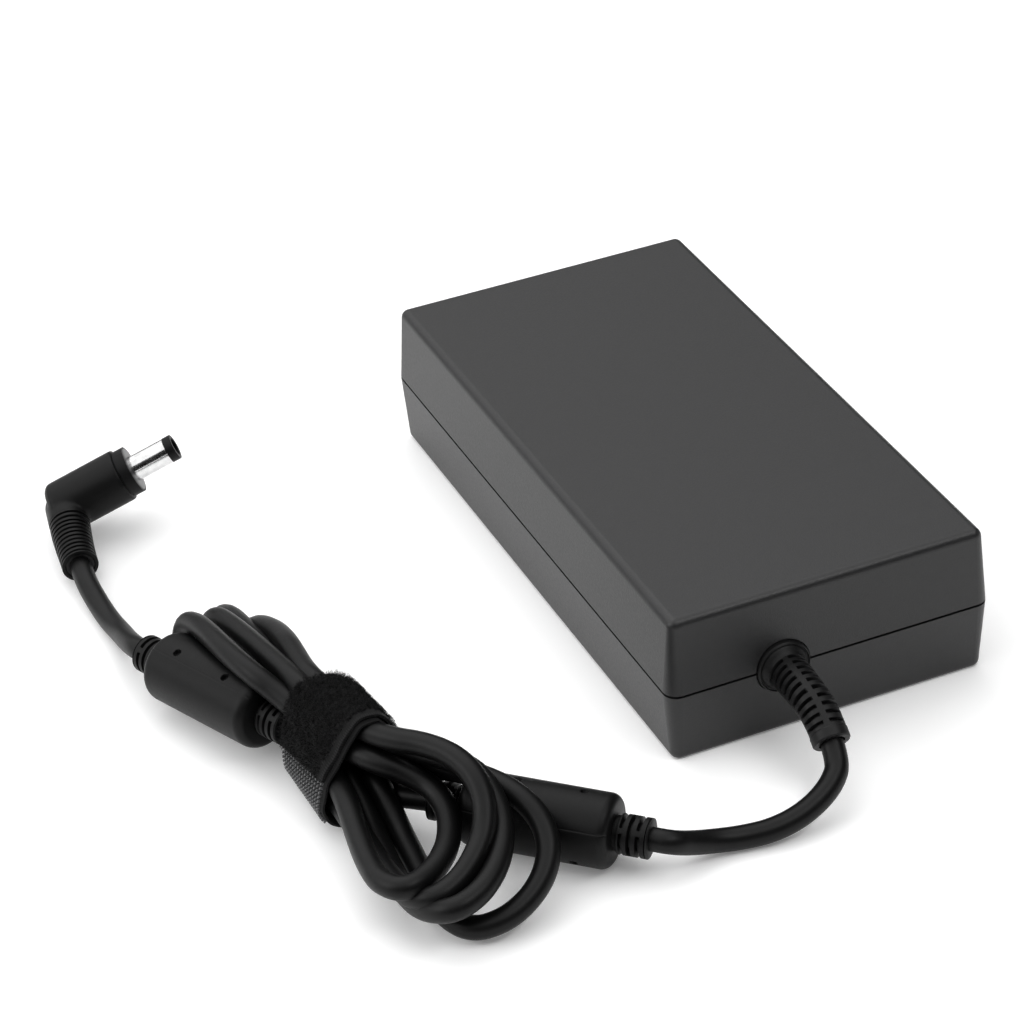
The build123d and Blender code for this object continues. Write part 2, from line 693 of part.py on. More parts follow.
with BuildPart() as hank:
    for centre, width, height in LEFT_END:
        with BuildSketch(section_plane(centre)):
            RectangleRounded(width, height, 0.42 * height)
    with BuildSketch(waist_left):
        RectangleRounded(WAIST_W, WAIST_H, WAIST_R)
    loft(ruled=True)
    with BuildSketch(waist_left):
        RectangleRounded(WAIST_W, WAIST_H, WAIST_R)
    extrude(amount=STRAP_W)
    with BuildSketch(waist_right):
        RectangleRounded(WAIST_W, WAIST_H, WAIST_R)
    for centre, width, height in RIGHT_END:
        with BuildSketch(section_plane(centre)):
            RectangleRounded(width, height, 0.42 * height)
    loft(ruled=True)
    for ends in (NEAR_FERRITE, FAR_FERRITE):
        with BuildSketch(ferrite_plane(ends)):
            Circle(FERRITE_D / 2 + FERRITE_GAP)
        extrude(amount=ferrite_length(ends) / 2 + FERRITE_GAP, both=True, mode=Mode.SUBTRACT)
        with BuildSketch(ferrite_plane(ends)):
            Circle(FERRITE_RELIEF_D / 2 + FERRITE_GAP)
        extrude(amount=ferrite_length(ends) / 2 + FERRITE_RELIEF_L, both=True, mode=Mode.SUBTRACT)
hank.part.label = "hank"
export_step(hank.part, "parts/hank.step")

with BuildPart() as strap_band:
    with BuildSketch(waist_left):
        RectangleRounded(WAIST_W + 2 * STRAP_T, WAIST_H + 2 * STRAP_T, WAIST_R + STRAP_T)
        RectangleRounded(WAIST_W, WAIST_H, WAIST_R, mode=Mode.SUBTRACT)
    extrude(amount=STRAP_W)
strap_band.part.label = "strap_band"
export_step(strap_band.part, "parts/strap_band.step")

# The strap's free end lies on the band's outer side and peels away round a line along the band.
TAB_HINGE_ANGLE = 120
TAB_END_DROP = 4.7
TAB_INNER_R = WAIST_R + STRAP_T + TAB_GAP
TAB_OUTER_R = TAB_INNER_R + TAB_T
CORNER_U = -(WAIST_W / 2 - WAIST_R)
CORNER_V = WAIST_H / 2 - WAIST_R


def on_corner(radius, angle):
    """A point at a radius and an angle round the band's upper outer corner."""
    turn = math.radians(angle)
    return (CORNER_U + radius * math.cos(turn), CORNER_V + radius * math.sin(turn))


with BuildPart() as strap_tab:
    with BuildSketch(waist_left):
        with BuildLine():
            outer_start = on_corner(TAB_OUTER_R, TAB_HINGE_ANGLE)
            outer_side = on_corner(TAB_OUTER_R, 180)
            outer_end = (outer_side[0], outer_side[1] - TAB_END_DROP)
            inner_start = on_corner(TAB_INNER_R, TAB_HINGE_ANGLE)
            inner_side = on_corner(TAB_INNER_R, 180)
            inner_end = (inner_side[0], inner_side[1] - TAB_END_DROP)
            ThreePointArc(outer_start, on_corner(TAB_OUTER_R, 150), outer_side)
            Polyline(outer_side, outer_end, inner_end, inner_side)
            ThreePointArc(inner_side, on_corner(TAB_INNER_R, 150), inner_start)
            Line(inner_start, outer_start)
        make_face()
    extrude(amount=STRAP_W)
strap_tab.part.label = "strap_tab"
export_step(strap_tab.part, "parts/strap_tab.step")

# ---------------------------------------------------------------- plug
plug_plane = Plane(PLUG_REAR, z_dir=barrel_way)
SHANK_L = 8.0
SHANK_D = 6.4
BARREL_START = PLUG_BODY_L + COLLAR_L
NECK_RIBS = 9
NECK_RIB_T = 0.9
RIB_TAPER = 0.15        # each rib is this much smaller across than the one before
NECK_CORE_D = 8.8
NECK_ROOT_L = 7.2       # plain length where the neck leaves the body
NECK_RIBS_FROM = 0.36   # where along the neck its ribs begin

with BuildPart() as plug_shell:
    with BuildSketch(plug_plane):
        Circle(PLUG_BODY_D / 2)
    extrude(amount=PLUG_BODY_L)
    chamfer(plug_shell.edges().filter_by(GeomType.CIRCLE).sort_by(Axis.X)[0], 1.3)
    with BuildLine() as neck_line:
        FilletPolyline(*NECK_ROUTE, radius=bend_radii(NECK_ROUTE))
    with BuildSketch(Plane(NECK_ROUTE[0], z_dir=direction(*NECK_ROUTE[:2]))):
        Circle(NECK_CORE_D / 2)
    sweep()
    with BuildSketch(Plane(NECK_ROUTE[0], z_dir=direction(*NECK_ROUTE[:2]))):
        Circle(NECK_D / 2)
    extrude(amount=NECK_ROOT_L)
    for rib in range(1, NECK_RIBS + 1):
        place = NECK_RIBS_FROM + (1 - NECK_RIBS_FROM) * rib / NECK_RIBS
        with BuildSketch(Plane(neck_line.line @ place, z_dir=neck_line.line % place)):
            Circle((NECK_D - RIB_TAPER * rib) / 2)
        extrude(amount=-NECK_RIB_T)
    with BuildSketch(plug_plane.offset(PLUG_BODY_L - SHANK_L)):
        Circle(SHANK_D / 2)
    extrude(amount=SHANK_L, mode=Mode.SUBTRACT)
plug_shell.part.label = "plug_shell"
export_step(plug_shell.part, "parts/plug_shell.step")

with BuildPart() as plug_collar:
    with BuildSketch(plug_plane.offset(PLUG_BODY_L)):
        Circle(COLLAR_D / 2)
        Circle(SHANK_D / 2, mode=Mode.SUBTRACT)
    extrude(amount=COLLAR_L)
    with BuildSketch(plug_plane.offset(BARREL_START)):
        with PolarLocations(BARREL_D / 2 + 1.1, 2):
            Rectangle(2.2, 5.0)
        Circle(SHANK_D / 2 + 0.1, mode=Mode.SUBTRACT)
    extrude(amount=-1.2, mode=Mode.SUBTRACT)
plug_collar.part.label = "plug_collar"
export_step(plug_collar.part, "parts/plug_collar.step")

with BuildPart() as plug_barrel:
    with BuildSketch(plug_plane.offset(BARREL_START)):
        Circle(BARREL_D / 2)
        Circle(BARREL_BORE_D / 2, mode=Mode.SUBTRACT)
    extrude(amount=BARREL_L)
    with BuildSketch(plug_plane.offset(PLUG_BODY_L - SHANK_L)):
        Circle(SHANK_D / 2)
        Circle(BARREL_BORE_D / 2, mode=Mode.SUBTRACT)
    extrude(amount=SHANK_L + COLLAR_L)
plug_barrel.part.label = "plug_barrel"
export_step(plug_barrel.part, "parts/plug_barrel.step")

with BuildPart() as plug_tip:
    with BuildSketch(plug_plane.offset(BARREL_START + BARREL_L)):
        Circle(BARREL_D / 2)
        Circle(BARREL_BORE_D / 2, mode=Mode.SUBTRACT)
    extrude(amount=TIP_L)
    fillet(plug_tip.edges().filter_by(GeomType.CIRCLE).sort_by(Axis.X)[-2:], 0.25)
plug_tip.part.label = "plug_tip"
export_step(plug_tip.part, "parts/plug_tip.step")

with BuildPart() as plug_carrier:
    with BuildSketch(plug_plane.offset(PLUG_BODY_L - SHANK_L)):
        Circle(BARREL_BORE_D / 2)
        Circle(PIN_D / 2, mode=Mode.SUBTRACT)
    extrude(amount=SHANK_L + 1)
plug_carrier.part.label = "plug_carrier"
export_step(plug_carrier.part, "parts/plug_carrier.step")

with BuildPart() as plug_pin:
    with BuildSketch(plug_plane.offset(PLUG_BODY_L - SHANK_L)):
        Circle(PIN_D / 2)
    extrude(amount=SHANK_L + COLLAR_L + BARREL_L)
plug_pin.part.label = "plug_pin"
export_step(plug_pin.part, "parts/plug_pin.step")

print("cord radii, case side", [round(r, 1) for r in bend_radii(CASE_SIDE_ROUTE)])
print("cord radii, plug side", [round(r, 1) for r in bend_radii(PLUG_SIDE_ROUTE)])
for name, tube, route in (
    ("case side", cord_case_side, CASE_SIDE_ROUTE),
    ("plug side", cord_plug_side, PLUG_SIDE_ROUTE),
):
    length = cord_path(route).length
    print(name, "length", round(length, 1), "volume ratio", round(tube.part.volume / (math.pi * CORD_R**2 * length), 4))
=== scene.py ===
import json
import math
import random

import bpy
import numpy as np
from mathutils import Matrix, Vector


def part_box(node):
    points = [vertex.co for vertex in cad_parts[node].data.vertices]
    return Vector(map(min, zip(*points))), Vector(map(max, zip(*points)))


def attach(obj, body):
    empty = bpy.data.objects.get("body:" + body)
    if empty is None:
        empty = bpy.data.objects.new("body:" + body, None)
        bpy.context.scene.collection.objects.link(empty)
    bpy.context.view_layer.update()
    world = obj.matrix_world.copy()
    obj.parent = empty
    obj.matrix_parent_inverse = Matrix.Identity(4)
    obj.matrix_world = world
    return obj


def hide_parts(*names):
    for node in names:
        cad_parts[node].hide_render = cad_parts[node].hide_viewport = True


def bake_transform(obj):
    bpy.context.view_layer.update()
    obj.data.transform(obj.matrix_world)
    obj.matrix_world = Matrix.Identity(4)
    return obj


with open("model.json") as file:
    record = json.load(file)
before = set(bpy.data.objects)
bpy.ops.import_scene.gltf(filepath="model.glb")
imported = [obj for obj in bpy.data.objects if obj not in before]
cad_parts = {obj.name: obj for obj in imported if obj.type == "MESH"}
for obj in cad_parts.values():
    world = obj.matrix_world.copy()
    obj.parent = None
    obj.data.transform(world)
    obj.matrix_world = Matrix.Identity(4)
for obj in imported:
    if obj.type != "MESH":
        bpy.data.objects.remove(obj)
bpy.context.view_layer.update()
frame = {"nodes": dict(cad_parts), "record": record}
RECORD = frame["record"]
NODES = frame["nodes"]
MM = 0.001

# ------------------------------------------------------------------ driving sizes, in mm
CORD_D = 6.1
CORD_R = CORD_D / 2
FERRITE_R = 9.45
FERRITE_RELIEF_L = 9.0
FERRITE_RELIEF_R = 5.1
SLEEVE_R = 5.25
PLUG_BODY_R = 7.65
PLUG_BODY_L = 22.3
PLUG_COLLAR_L = 3.1
BARREL_L = 13.45       # with its insulating tip
STRAP_T = 2.4


def way(start, end):
    return (Vector(end) - Vector(start)).normalized()


# ------------------------------------------------------------------ routes, in mm, as in the CAD model
SLEEVE_ROUTE = [(-14, -90, 20.7), (-13.9, -100.5, 20.4), (-13.2, -109.2, 17.6), (-13.9, -115.6, 13.6)]
NEAR_FERRITE = [Vector((-74.3, -118.3, 9.6)), Vector((-102.6, -91.5, 9.6))]
FAR_FERRITE = [Vector((-135.2, -40.2, 14.5)), Vector((-149.2, -2.9, 11.4))]
near_way = way(*NEAR_FERRITE)
far_way = way(*FAR_FERRITE)
CASE_SIDE_ROUTE = [
    (-13.90, -115.60, 13.60),
    (-14.38, -120.00, 10.85),
    (-18.00, -123.80, 8.70),
    (-23.30, -126.50, 6.70),
    (-30.00, -128.30, 5.00),
    (-37.50, -128.40, 3.70),
    (-45.00, -126.80, 3.20),
    (-51.50, -125.80, 3.90),
    (-58.50, -126.60, 6.40),
    (-64.21, -127.86, 9.60),
]
PLUG_SIDE_ROUTE = [
    (-153.75, 9.23, 10.40),
    (-153.90, 16.50, 7.90),
    (-153.40, 25.00, 5.10),
    (-153.90, 34.50, 3.50),
    (-154.20, 44.00, 3.70),
    (-154.52, 53.59, 5.43),
    (-153.69, 60.01, 6.00),
]
NECK_ROUTE = [(-149.3, 85.8, 9.6), (-150.6, 78.7, 8.6), (-152.4, 70.1, 6.9), (-153.7, 60.0, 6.0)]

strap_low, strap_high = (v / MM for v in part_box("strap_band"))
WAIST = (strap_low + strap_high) / 2
STRAP_LEFT_Y = strap_high.y
STRAP_RIGHT_Y = strap_low.y

dc_plug = next(m for m in RECORD["mounts"] if m["name"] == "dc_plug")
barrel_way = Vector(dc_plug["axis"]).normalized()
PLUG_REAR = Vector(dc_plug["pos_m"]) / MM - barrel_way * (PLUG_BODY_L + PLUG_COLLAR_L + BARREL_L / 2)


# ------------------------------------------------------------------ materials
def new_material(name):
    mat = bpy.data.materials.new(name)
    mat.use_nodes = True
    tree = mat.node_tree
    tree.nodes.clear()
    out = tree.nodes.new("ShaderNodeOutputMaterial")
    bsdf = tree.nodes.new("ShaderNodeBsdfPrincipled")
    tree.links.new(bsdf.outputs[0], out.inputs[0])
    return mat, tree, bsdf


def noise(tree, scale, detail=3.0, rough=0.55, coords="Object", stretch=None):
    where = tree.nodes.new("ShaderNodeTexCoord").outputs[coords]
    if stretch:
        mapping = tree.nodes.new("ShaderNodeMapping")
        mapping.inputs["Scale"].default_value = stretch
        tree.links.new(where, mapping.inputs["Vector"])
        where = mapping.outputs[0]
    node = tree.nodes.new("ShaderNodeTexNoise")
    node.inputs["Scale"].default_value = scale
    node.inputs["Detail"].default_value = detail
    node.inputs["Roughness"].default_value = rough
    tree.links.new(where, node.inputs["Vector"])
    return node.outputs["Fac"]


def ramp(tree, value, low, high, at=(0.35, 0.65)):
    node = tree.nodes.new("ShaderNodeValToRGB")
    node.color_ramp.elements[0].position = at[0]
    node.color_ramp.elements[1].position = at[1]
    node.color_ramp.elements[0].color = (*low, 1)
    node.color_ramp.elements[1].color = (*high, 1)
    tree.links.new(value, node.inputs[0])
    return node.outputs[0]


def spread(tree, value, low, high):
    node = tree.nodes.new("ShaderNodeMapRange")
    node.inputs["From Min"].default_value = 0.3
    node.inputs["From Max"].default_value = 0.7
    node.inputs["To Min"].default_value = low
    node.inputs["To Max"].default_value = high
    tree.links.new(value, node.inputs["Value"])
    return node.outputs[0]


def bump(tree, height, distance, strength=1.0, under=None):
    node = tree.nodes.new("ShaderNodeBump")
    node.inputs["Strength"].default_value = strength
    node.inputs["Distance"].default_value = distance
    tree.links.new(height, node.inputs["Height"])
    if under:
        tree.links.new(under, node.inputs["Normal"])
    return node.outputs[0]


def shade(color, factor):
    return tuple(min(1, c * factor) for c in color)


def moulded(name, color, rough=0.5, grain=2600, depth=0.00003, strength=0.5, vary=0.12, specular=0.5,
            swell=0.1):
    """Moulded plastic or rubber: fine grain, slightly uneven colour and gloss."""
    mat, tree, bsdf = new_material(name)
    patches = noise(tree, 260, 4)
    colors = ramp(tree, patches, shade(color, 1 - vary), shade(color, 1 + vary))
    tree.links.new(colors, bsdf.inputs["Base Color"])
    tree.links.new(spread(tree, noise(tree, 1500, 2), rough - 0.03, rough + 0.03), bsdf.inputs["Roughness"])
    soft = bump(tree, noise(tree, 60, 2), 0.00008, swell)
    tree.links.new(bump(tree, noise(tree, grain, 2), depth, strength, soft), bsdf.inputs["Normal"])
    bsdf.inputs["Specular IOR Level"].default_value = specular
    return mat


def metal(name, color, rough=0.25, stretch=(1, 1, 1), scale=900, depth=0.00001):
    mat, tree, bsdf = new_material(name)
    lines = noise(tree, scale, 3, stretch=stretch)
    tree.links.new(ramp(tree, lines, shade(color, 0.86), shade(color, 1.05)), bsdf.inputs["Base Color"])
    tree.links.new(spread(tree, lines, rough * 0.75, rough * 1.3), bsdf.inputs["Roughness"])
    tree.links.new(bump(tree, lines, depth, 0.3), bsdf.inputs["Normal"])
    bsdf.inputs["Metallic"].default_value = 1.0
    return mat


def woven(name, color, pitch, rough=0.85, depth=0.0001):
    """Ribbed woven tape: ribs across the tape from its own UV map, in metres; its colour follows the ribs'
    height, darker in the hollows as painted shade and lighter on the crests as painted highlight.
    """
    mat, tree, bsdf = new_material(name)
    coords = tree.nodes.new("ShaderNodeTexCoord").outputs["UV"]
    heights = []
    for direction in ("X", "Y"):
        wave = tree.nodes.new("ShaderNodeTexWave")
        wave.bands_direction = direction
        wave.inputs["Scale"].default_value = 0.314 / pitch if direction == "X" else 0.1 / pitch
        wave.inputs["Distortion"].default_value = 0.8
        wave.inputs["Detail"].default_value = 2
        wave.inputs["Detail Scale"].default_value = 3
        tree.links.new(coords, wave.inputs["Vector"])
        heights.append(wave.outputs["Fac"])
    mix = tree.nodes.new("ShaderNodeMath")
    mix.operation = "MULTIPLY"
    tree.links.new(heights[0], mix.inputs[0])
    tree.links.new(heights[1], mix.inputs[1])
    # Colour from the weave's height: darker in the hollows between ribs as painted shade, lighter on the crests
    # as painted highlight.
    colors = ramp(tree, mix.outputs[0], shade(color, 0.45), shade(color, 1.5), (0.1, 0.8))
    tree.links.new(colors, bsdf.inputs["Base Color"])
    tree.links.new(bump(tree, mix.outputs[0], depth, 0.8), bsdf.inputs["Normal"])
    bsdf.inputs["Roughness"].default_value = rough
    bsdf.inputs["Specular IOR Level"].default_value = 0.2
    bsdf.inputs["Sheen Weight"].default_value = 0.03
    bsdf.inputs["Sheen Roughness"].default_value = 0.5
    return mat


FINISH = {
    "case_plastic": moulded("case_grain", (0.012, 0.012, 0.0125), 0.42, 2300, 0.00006, 0.75, 0.04, 0.42, 0.0),
    "label_film": moulded("label_satin", (0.1, 0.1, 0.1), 0.35, 1500, 0.00001, 0.3),
    "inlet_plastic": moulded("inlet_black", (0.018, 0.018, 0.019), 0.42, 3000, 0.00002),
    "pin_metal": metal("nickel_pin", (0.74, 0.72, 0.68), 0.22, (1, 0.1, 1)),
    "board_laminate": moulded("laminate_green", (0.02, 0.09, 0.035), 0.4, 900, 0.00003),
    "steel": metal("zinc_steel", (0.6, 0.6, 0.62), 0.3),
    "shield_metal": metal("rolled_sheet", (0.7, 0.7, 0.72), 0.32, (1, 0.05, 1)),
    "film": moulded("clear_film", (0.6, 0.56, 0.44), 0.3, 700, 0.00001),
    "fuse_body": moulded("glazed_fuse", (0.68, 0.66, 0.6), 0.2, 800, 0.00001),
    "capacitor_yellow": moulded("yellow_film", (0.62, 0.4, 0.05), 0.4, 1200, 0.00003),
    "ferrite": moulded("sintered_ferrite", (0.05, 0.05, 0.053), 0.6, 1900, 0.00006),
    "copper_winding": metal("enamelled_copper", (0.62, 0.25, 0.1), 0.3, (1, 1, 8), 500, 0.0001),
    "chip_epoxy": moulded("epoxy_black", (0.02, 0.02, 0.02), 0.55, 2200, 0.00003),
    "capacitor_sleeve": moulded("sleeve_navy", (0.015, 0.025, 0.08), 0.25, 400, 0.00001),
    "heat_sink": metal("extruded_sink", (0.68, 0.68, 0.7), 0.35, (1, 1, 0.1)),
    "bobbin": moulded("phenolic", (0.05, 0.04, 0.035), 0.5, 1600, 0.00003),
    "pad": moulded("silicone_pad", (0.32, 0.38, 0.45), 0.7, 1300, 0.00005),
    "wire": moulded("wire_red", (0.3, 0.02, 0.02), 0.35, 1500, 0.00001),
    "relief_rubber": moulded("relief_matt", (0.005, 0.005, 0.0052), 0.48, 2600, 0.00003, 0.5, 0.1, 0.22),
    "cord_jacket": moulded("jacket_satin", (0.002, 0.002, 0.0021), 0.44, 2900, 0.00002, 0.4, 0.08, 0.2),
    "plug_rubber": moulded("overmould_satin", (0.003, 0.003, 0.0031), 0.46, 3000, 0.00002, 0.45, 0.1, 0.16),
    "collar_plastic": moulded("collar_black", (0.003, 0.003, 0.0032), 0.5, 2000, 0.00002, specular=0.15),
    "barrel_metal": metal("polished_barrel", (0.74, 0.74, 0.74), 0.16, (1, 1, 1), 500, 0.000004),
}
TAPE = woven("woven_tape", (0.006, 0.006, 0.0062), 0.0007)
for entry in RECORD["subparts"]:
    finish = FINISH.get(entry["material_slot"], TAPE)
    data = NODES[entry["node"]].data
    data.materials.clear()
    data.materials.append(finish)
    for face in data.polygons:
        face.use_smooth = True
    data.set_sharp_from_angle(angle=math.radians(28))


# ------------------------------------------------------------------ mesh helpers
def new_piece(name, verts, faces, material, scale=MM, uvs=None, smooth=True, sharp=None):
    mesh = bpy.data.meshes.new(name)
    mesh.from_pydata([Vector(v) * scale for v in verts], [], faces)
    if uvs:
        layer = mesh.uv_layers.new(name="UVMap")
        for face in mesh.polygons:
            for loop in face.loop_indices:
                layer.data[loop].uv = uvs[mesh.loops[loop].vertex_index]
    for face in mesh.polygons:
        face.use_smooth = smooth
    mesh.materials.append(material)
    mesh.validate()
    if sharp:
        mesh.set_sharp_from_angle(angle=math.radians(sharp))
    obj = bpy.data.objects.new(name, mesh)
    bpy.context.scene.collection.objects.link(obj)
    return obj


def nurbs_curve(name, points):
    """An open NURBS curve of order 3 through the ends of its control points, in mm."""
    data = bpy.data.curves.new(name, "CURVE")
    data.dimensions = "3D"
    spline = data.splines.new("NURBS")
    spline.points.add(len(points) - 1)
    for point, place in zip(spline.points, points):
        point.co = (*(Vector(place) * MM), 1)
    spline.order_u = 3
    spline.use_endpoint_u = True
    spline.resolution_u = 8
    obj = bpy.data.objects.new(name, data)
    bpy.context.scene.collection.objects.link(obj)
    return obj


def read_line(points):
    """Points along the NURBS spline of a route, in mm."""
    obj = nurbs_curve("reading", points)
    mesh = bpy.data.meshes.new_from_object(obj)
    line = [v.co / MM for v in mesh.vertices]
    data = obj.data
    bpy.data.objects.remove(obj)
    bpy.data.curves.remove(data)
    bpy.data.meshes.remove(mesh)
    return line


def resample(line, step=None, count=None):
    pts = np.array([list(p) for p in line])
    far = np.concatenate([[0], np.cumsum(np.linalg.norm(np.diff(pts, axis=0), axis=1))])
    count = count or max(2, int(round(far[-1] / step)) + 1)
    at = np.linspace(0, far[-1], count)
    return np.stack([np.interp(at, far, pts[:, k]) for k in range(3)], axis=1), far[-1]


MOUTH_DEPTH = 2.5      # of the bore at a relief's far end


def sweep_rings(name, line, radius, material, around=96, step=0.2, bore=None, sharp=40):
    """A closed solid round a line, in mm: radius(distance, angle, whole length); bore opens its far end."""
    pts, whole = resample(line, step=step)
    tangents = np.gradient(pts, axis=0)
    tangents /= np.linalg.norm(tangents, axis=1)[:, None]
    side = np.cross(tangents[0], (0, 0, 1))
    side /= np.linalg.norm(side)
    verts, rings = [], []

    def ring(centre, tangent, side, radii):
        over = np.cross(side, tangent)
        start = len(verts)
        for k in range(around):
            angle = 2 * math.pi * k / around
            verts.append(centre + (math.cos(angle) * side + math.sin(angle) * over) * radii(angle))
        rings.append(range(start, start + around))

    distance = 0.0
    for i, (p, t) in enumerate(zip(pts, tangents)):
        side = side - t * np.dot(side, t)
        side /= np.linalg.norm(side)
        if i:
            distance += float(np.linalg.norm(pts[i] - pts[i - 1]))
        ring(p, t, side, lambda angle: radius(distance, angle, whole))
    if bore:
        ring(pts[-1], tangents[-1], side, lambda angle: bore)
        ring(pts[-1] - tangents[-1] * MOUTH_DEPTH, tangents[-1], side, lambda angle: bore - 0.1)
    faces = []
    for a, b in zip(rings, rings[1:]):
        for k in range(around):
            n = (k + 1) % around
            faces.append((a[k], a[n], b[n], b[k]))
    faces.append(tuple(rings[0])[::-1])
    faces.append(tuple(rings[-1]))
    return new_piece(name, verts, faces, material, sharp=sharp)


def smoothstep(x):
    x = min(1.0, max(0.0, x))
    return x * x * (3 - 2 * x)


# ------------------------------------------------------------------ the strap's outline
# Its outer face at each edge, seen along Y from its middle: (x, z) in mm, anticlockwise from the top right.
RIGHT_OUTLINE = [
    (8.2, 15.1), (3.0, 15.6), (-1.1, 12.0), (-4.6, 6.6), (-8.3, 1.2), (-10.2, -4.0), (-10.9, -9.0),
    (-9.4, -13.0), (-5.5, -16.2), (1.0, -16.6), (7.5, -15.2), (11.6, -9.0), (13.0, 0.0), (12.6, 8.6),
]
LEFT_OUTLINE = [
    (6.5, 12.0), (2.0, 13.2), (-3.0, 13.2), (-6.6, 10.3), (-9.1, 4.6), (-10.6, -2.0), (-11.2, -8.0),
    (-10.2, -13.0), (-6.0, -16.2), (1.0, -16.6), (7.5, -15.2), (11.0, -9.0), (12.0, -1.0), (10.5, 7.5),
]
OUTLINE_STEPS = 280


def closed_outline(points):
    """A smooth closed curve through the points."""
    pts = np.array(points)
    count = len(pts)
    out = []
    for k in range(OUTLINE_STEPS):
        place = k * count / OUTLINE_STEPS
        i = int(place)
        t = place - i
        p = [pts[(i + j - 1) % count] for j in range(4)]
        out.append(0.5 * (2 * p[1] + (p[2] - p[0]) * t + (2 * p[0] - 5 * p[1] + 4 * p[2] - p[3]) * t * t
                          + (3 * p[1] - p[0] - 3 * p[2] + p[3]) * t ** 3))
    return np.array(out)


OUTLINES = [closed_outline(LEFT_OUTLINE), closed_outline(RIGHT_OUTLINE)]


def outline_at(across):
    """The strap's outline at a place across it, from its left edge at 0 to its right edge at 1."""
    return OUTLINES[0] * (1 - across) + OUTLINES[1] * across


# ------------------------------------------------------------------ the hank
# Where each strand passes the strap's edges, (x, z) in mm: t is a loop's upper strand, r its lower one.
RIGHT_SLOTS = {
    "s0": (-114.6, 7.6), "t1": (-124.4, 22.3), "r1": (-129.4, 13.2), "t2": (-121.0, 27.9),
    "r2": (-127.0, 8.3), "t3": (-116.2, 23.5), "r3": (-121.5, 7.0), "t4": (-115.0, 16.0),
    "r4": (-118.8, 12.6),
}
LEFT_SLOTS = {
    "tA": (-132.5, 23.2), "rA": (-127.6, 9.6), "tB": (-128.3, 27.9), "rB": (-125.2, 15.2),
    "tC": (-122.6, 27.3), "rC": (-122.0, 9.4), "tD": (-125.5, 21.0), "rD": (-128.5, 4.0),
}
# Each end loop: where the cord lies round it, from its upper strand to its lower one, in mm.
LOOPS = {
    "1": [
        (-115.5, -80.5, 18.0), (-109.5, -87.5, 15.5), (-109.0, -97.0, 14.0), (-112.5, -105.5, 13.0),
        (-118.0, -113.0, 13.0), (-125.5, -118.0, 12.5), (-130.5, -119.0, 12.0), (-133.5, -112.5, 11.5),
        (-132.5, -99.0, 11.0), (-130.5, -86.0, 11.5),
    ],
    "2": [
        (-114.5, -79.0, 26.0), (-107.0, -84.0, 24.5), (-101.5, -92.0, 22.0), (-101.0, -101.0, 18.5),
        (-105.5, -110.5, 14.5), (-112.5, -117.0, 12.0), (-119.5, -121.5, 10.5), (-126.5, -122.5, 10.0),
        (-128.5, -112.0, 8.0), (-128.5, -98.5, 6.5), (-127.5, -85.0, 6.0),
    ],
    "3": [
        (-108.0, -76.5, 19.5), (-102.5, -83.0, 19.0), (-98.0, -89.5, 18.0), (-98.0, -99.0, 16.0),
        (-99.5, -109.0, 13.5), (-103.5, -115.5, 11.5), (-110.0, -122.5, 10.0), (-117.5, -127.0, 9.5),
        (-123.5, -127.5, 9.0), (-127.0, -120.5, 7.5), (-127.0, -107.5, 5.5), (-125.0, -91.5, 4.5),
        (-123.5, -81.0, 5.5),
    ],
    "4": [
        (-107.0, -77.0, 14.0), (-102.5, -82.0, 14.5), (-98.0, -87.0, 15.0), (-94.5, -94.0, 15.5),
        (-91.5, -101.5, 15.0), (-89.5, -109.5, 13.0), (-91.0, -117.5, 10.5), (-95.0, -122.5, 7.5),
        (-102.5, -128.0, 5.0), (-110.5, -130.0, 3.5), (-117.0, -130.0, 3.0), (-120.5, -125.0, 3.0),
        (-121.0, -114.5, 3.0), (-119.5, -101.0, 3.0), (-119.0, -89.0, 4.5), (-119.0, -80.5, 7.0),
    ],
    "A": [
        (-135.0, -38.5, 23.5), (-137.0, -27.0, 22.5), (-139.0, -9.0, 21.0), (-140.0, 1.0, 19.0),
        (-141.5, 6.0, 16.0), (-142.0, 8.5, 12.0), (-143.5, 1.5, 4.5), (-144.0, -9.5, 3.5),
    ],
    "B": [
        (-128.0, -48.0, 27.0), (-129.5, -30.5, 24.0), (-130.5, -15.5, 21.0), (-132.0, -0.5, 18.0),
        (-133.0, 8.0, 15.5), (-133.5, 11.5, 13.0), (-133.5, 5.5, 5.0), (-132.0, -7.0, 5.0),
    ],
    "C": [
        (-125.5, -48.5, 28.5), (-124.0, -36.5, 25.0), (-121.5, -16.5, 19.5), (-122.0, -5.0, 15.5),
        (-123.5, 1.5, 12.5), (-125.0, 6.0, 8.5), (-124.5, 5.5, 4.5), (-123.5, -2.0, 3.5),
        (-122.5, -17.5, 4.0),
    ],
    "D": [
        (-124.0, -37.5, 17.5), (-125.0, -23.0, 16.5), (-126.5, -8.5, 15.0), (-127.5, 4.0, 13.5),
        (-128.0, 13.5, 11.0), (-129.0, 19.0, 7.5), (-129.0, 17.5, 4.5), (-128.0, 8.0, 3.5),
        (-126.5, -10.0, 3.5),
    ],
}
LOOP_POINTS = 16
CURVE_STEPS = 12
# The cord's way through the hank, from the near ferrite to the far one.
STRANDS = ["s0", "C-", "3+", "D+", "4-", "B-", "2+", "A-", "1+"]


def slot_point(name):
    if name in RIGHT_SLOTS:
        x, z = RIGHT_SLOTS[name]
        return (x, STRAP_RIGHT_Y, z)
    x, z = LEFT_SLOTS[name]
    return (x, STRAP_LEFT_Y, z)


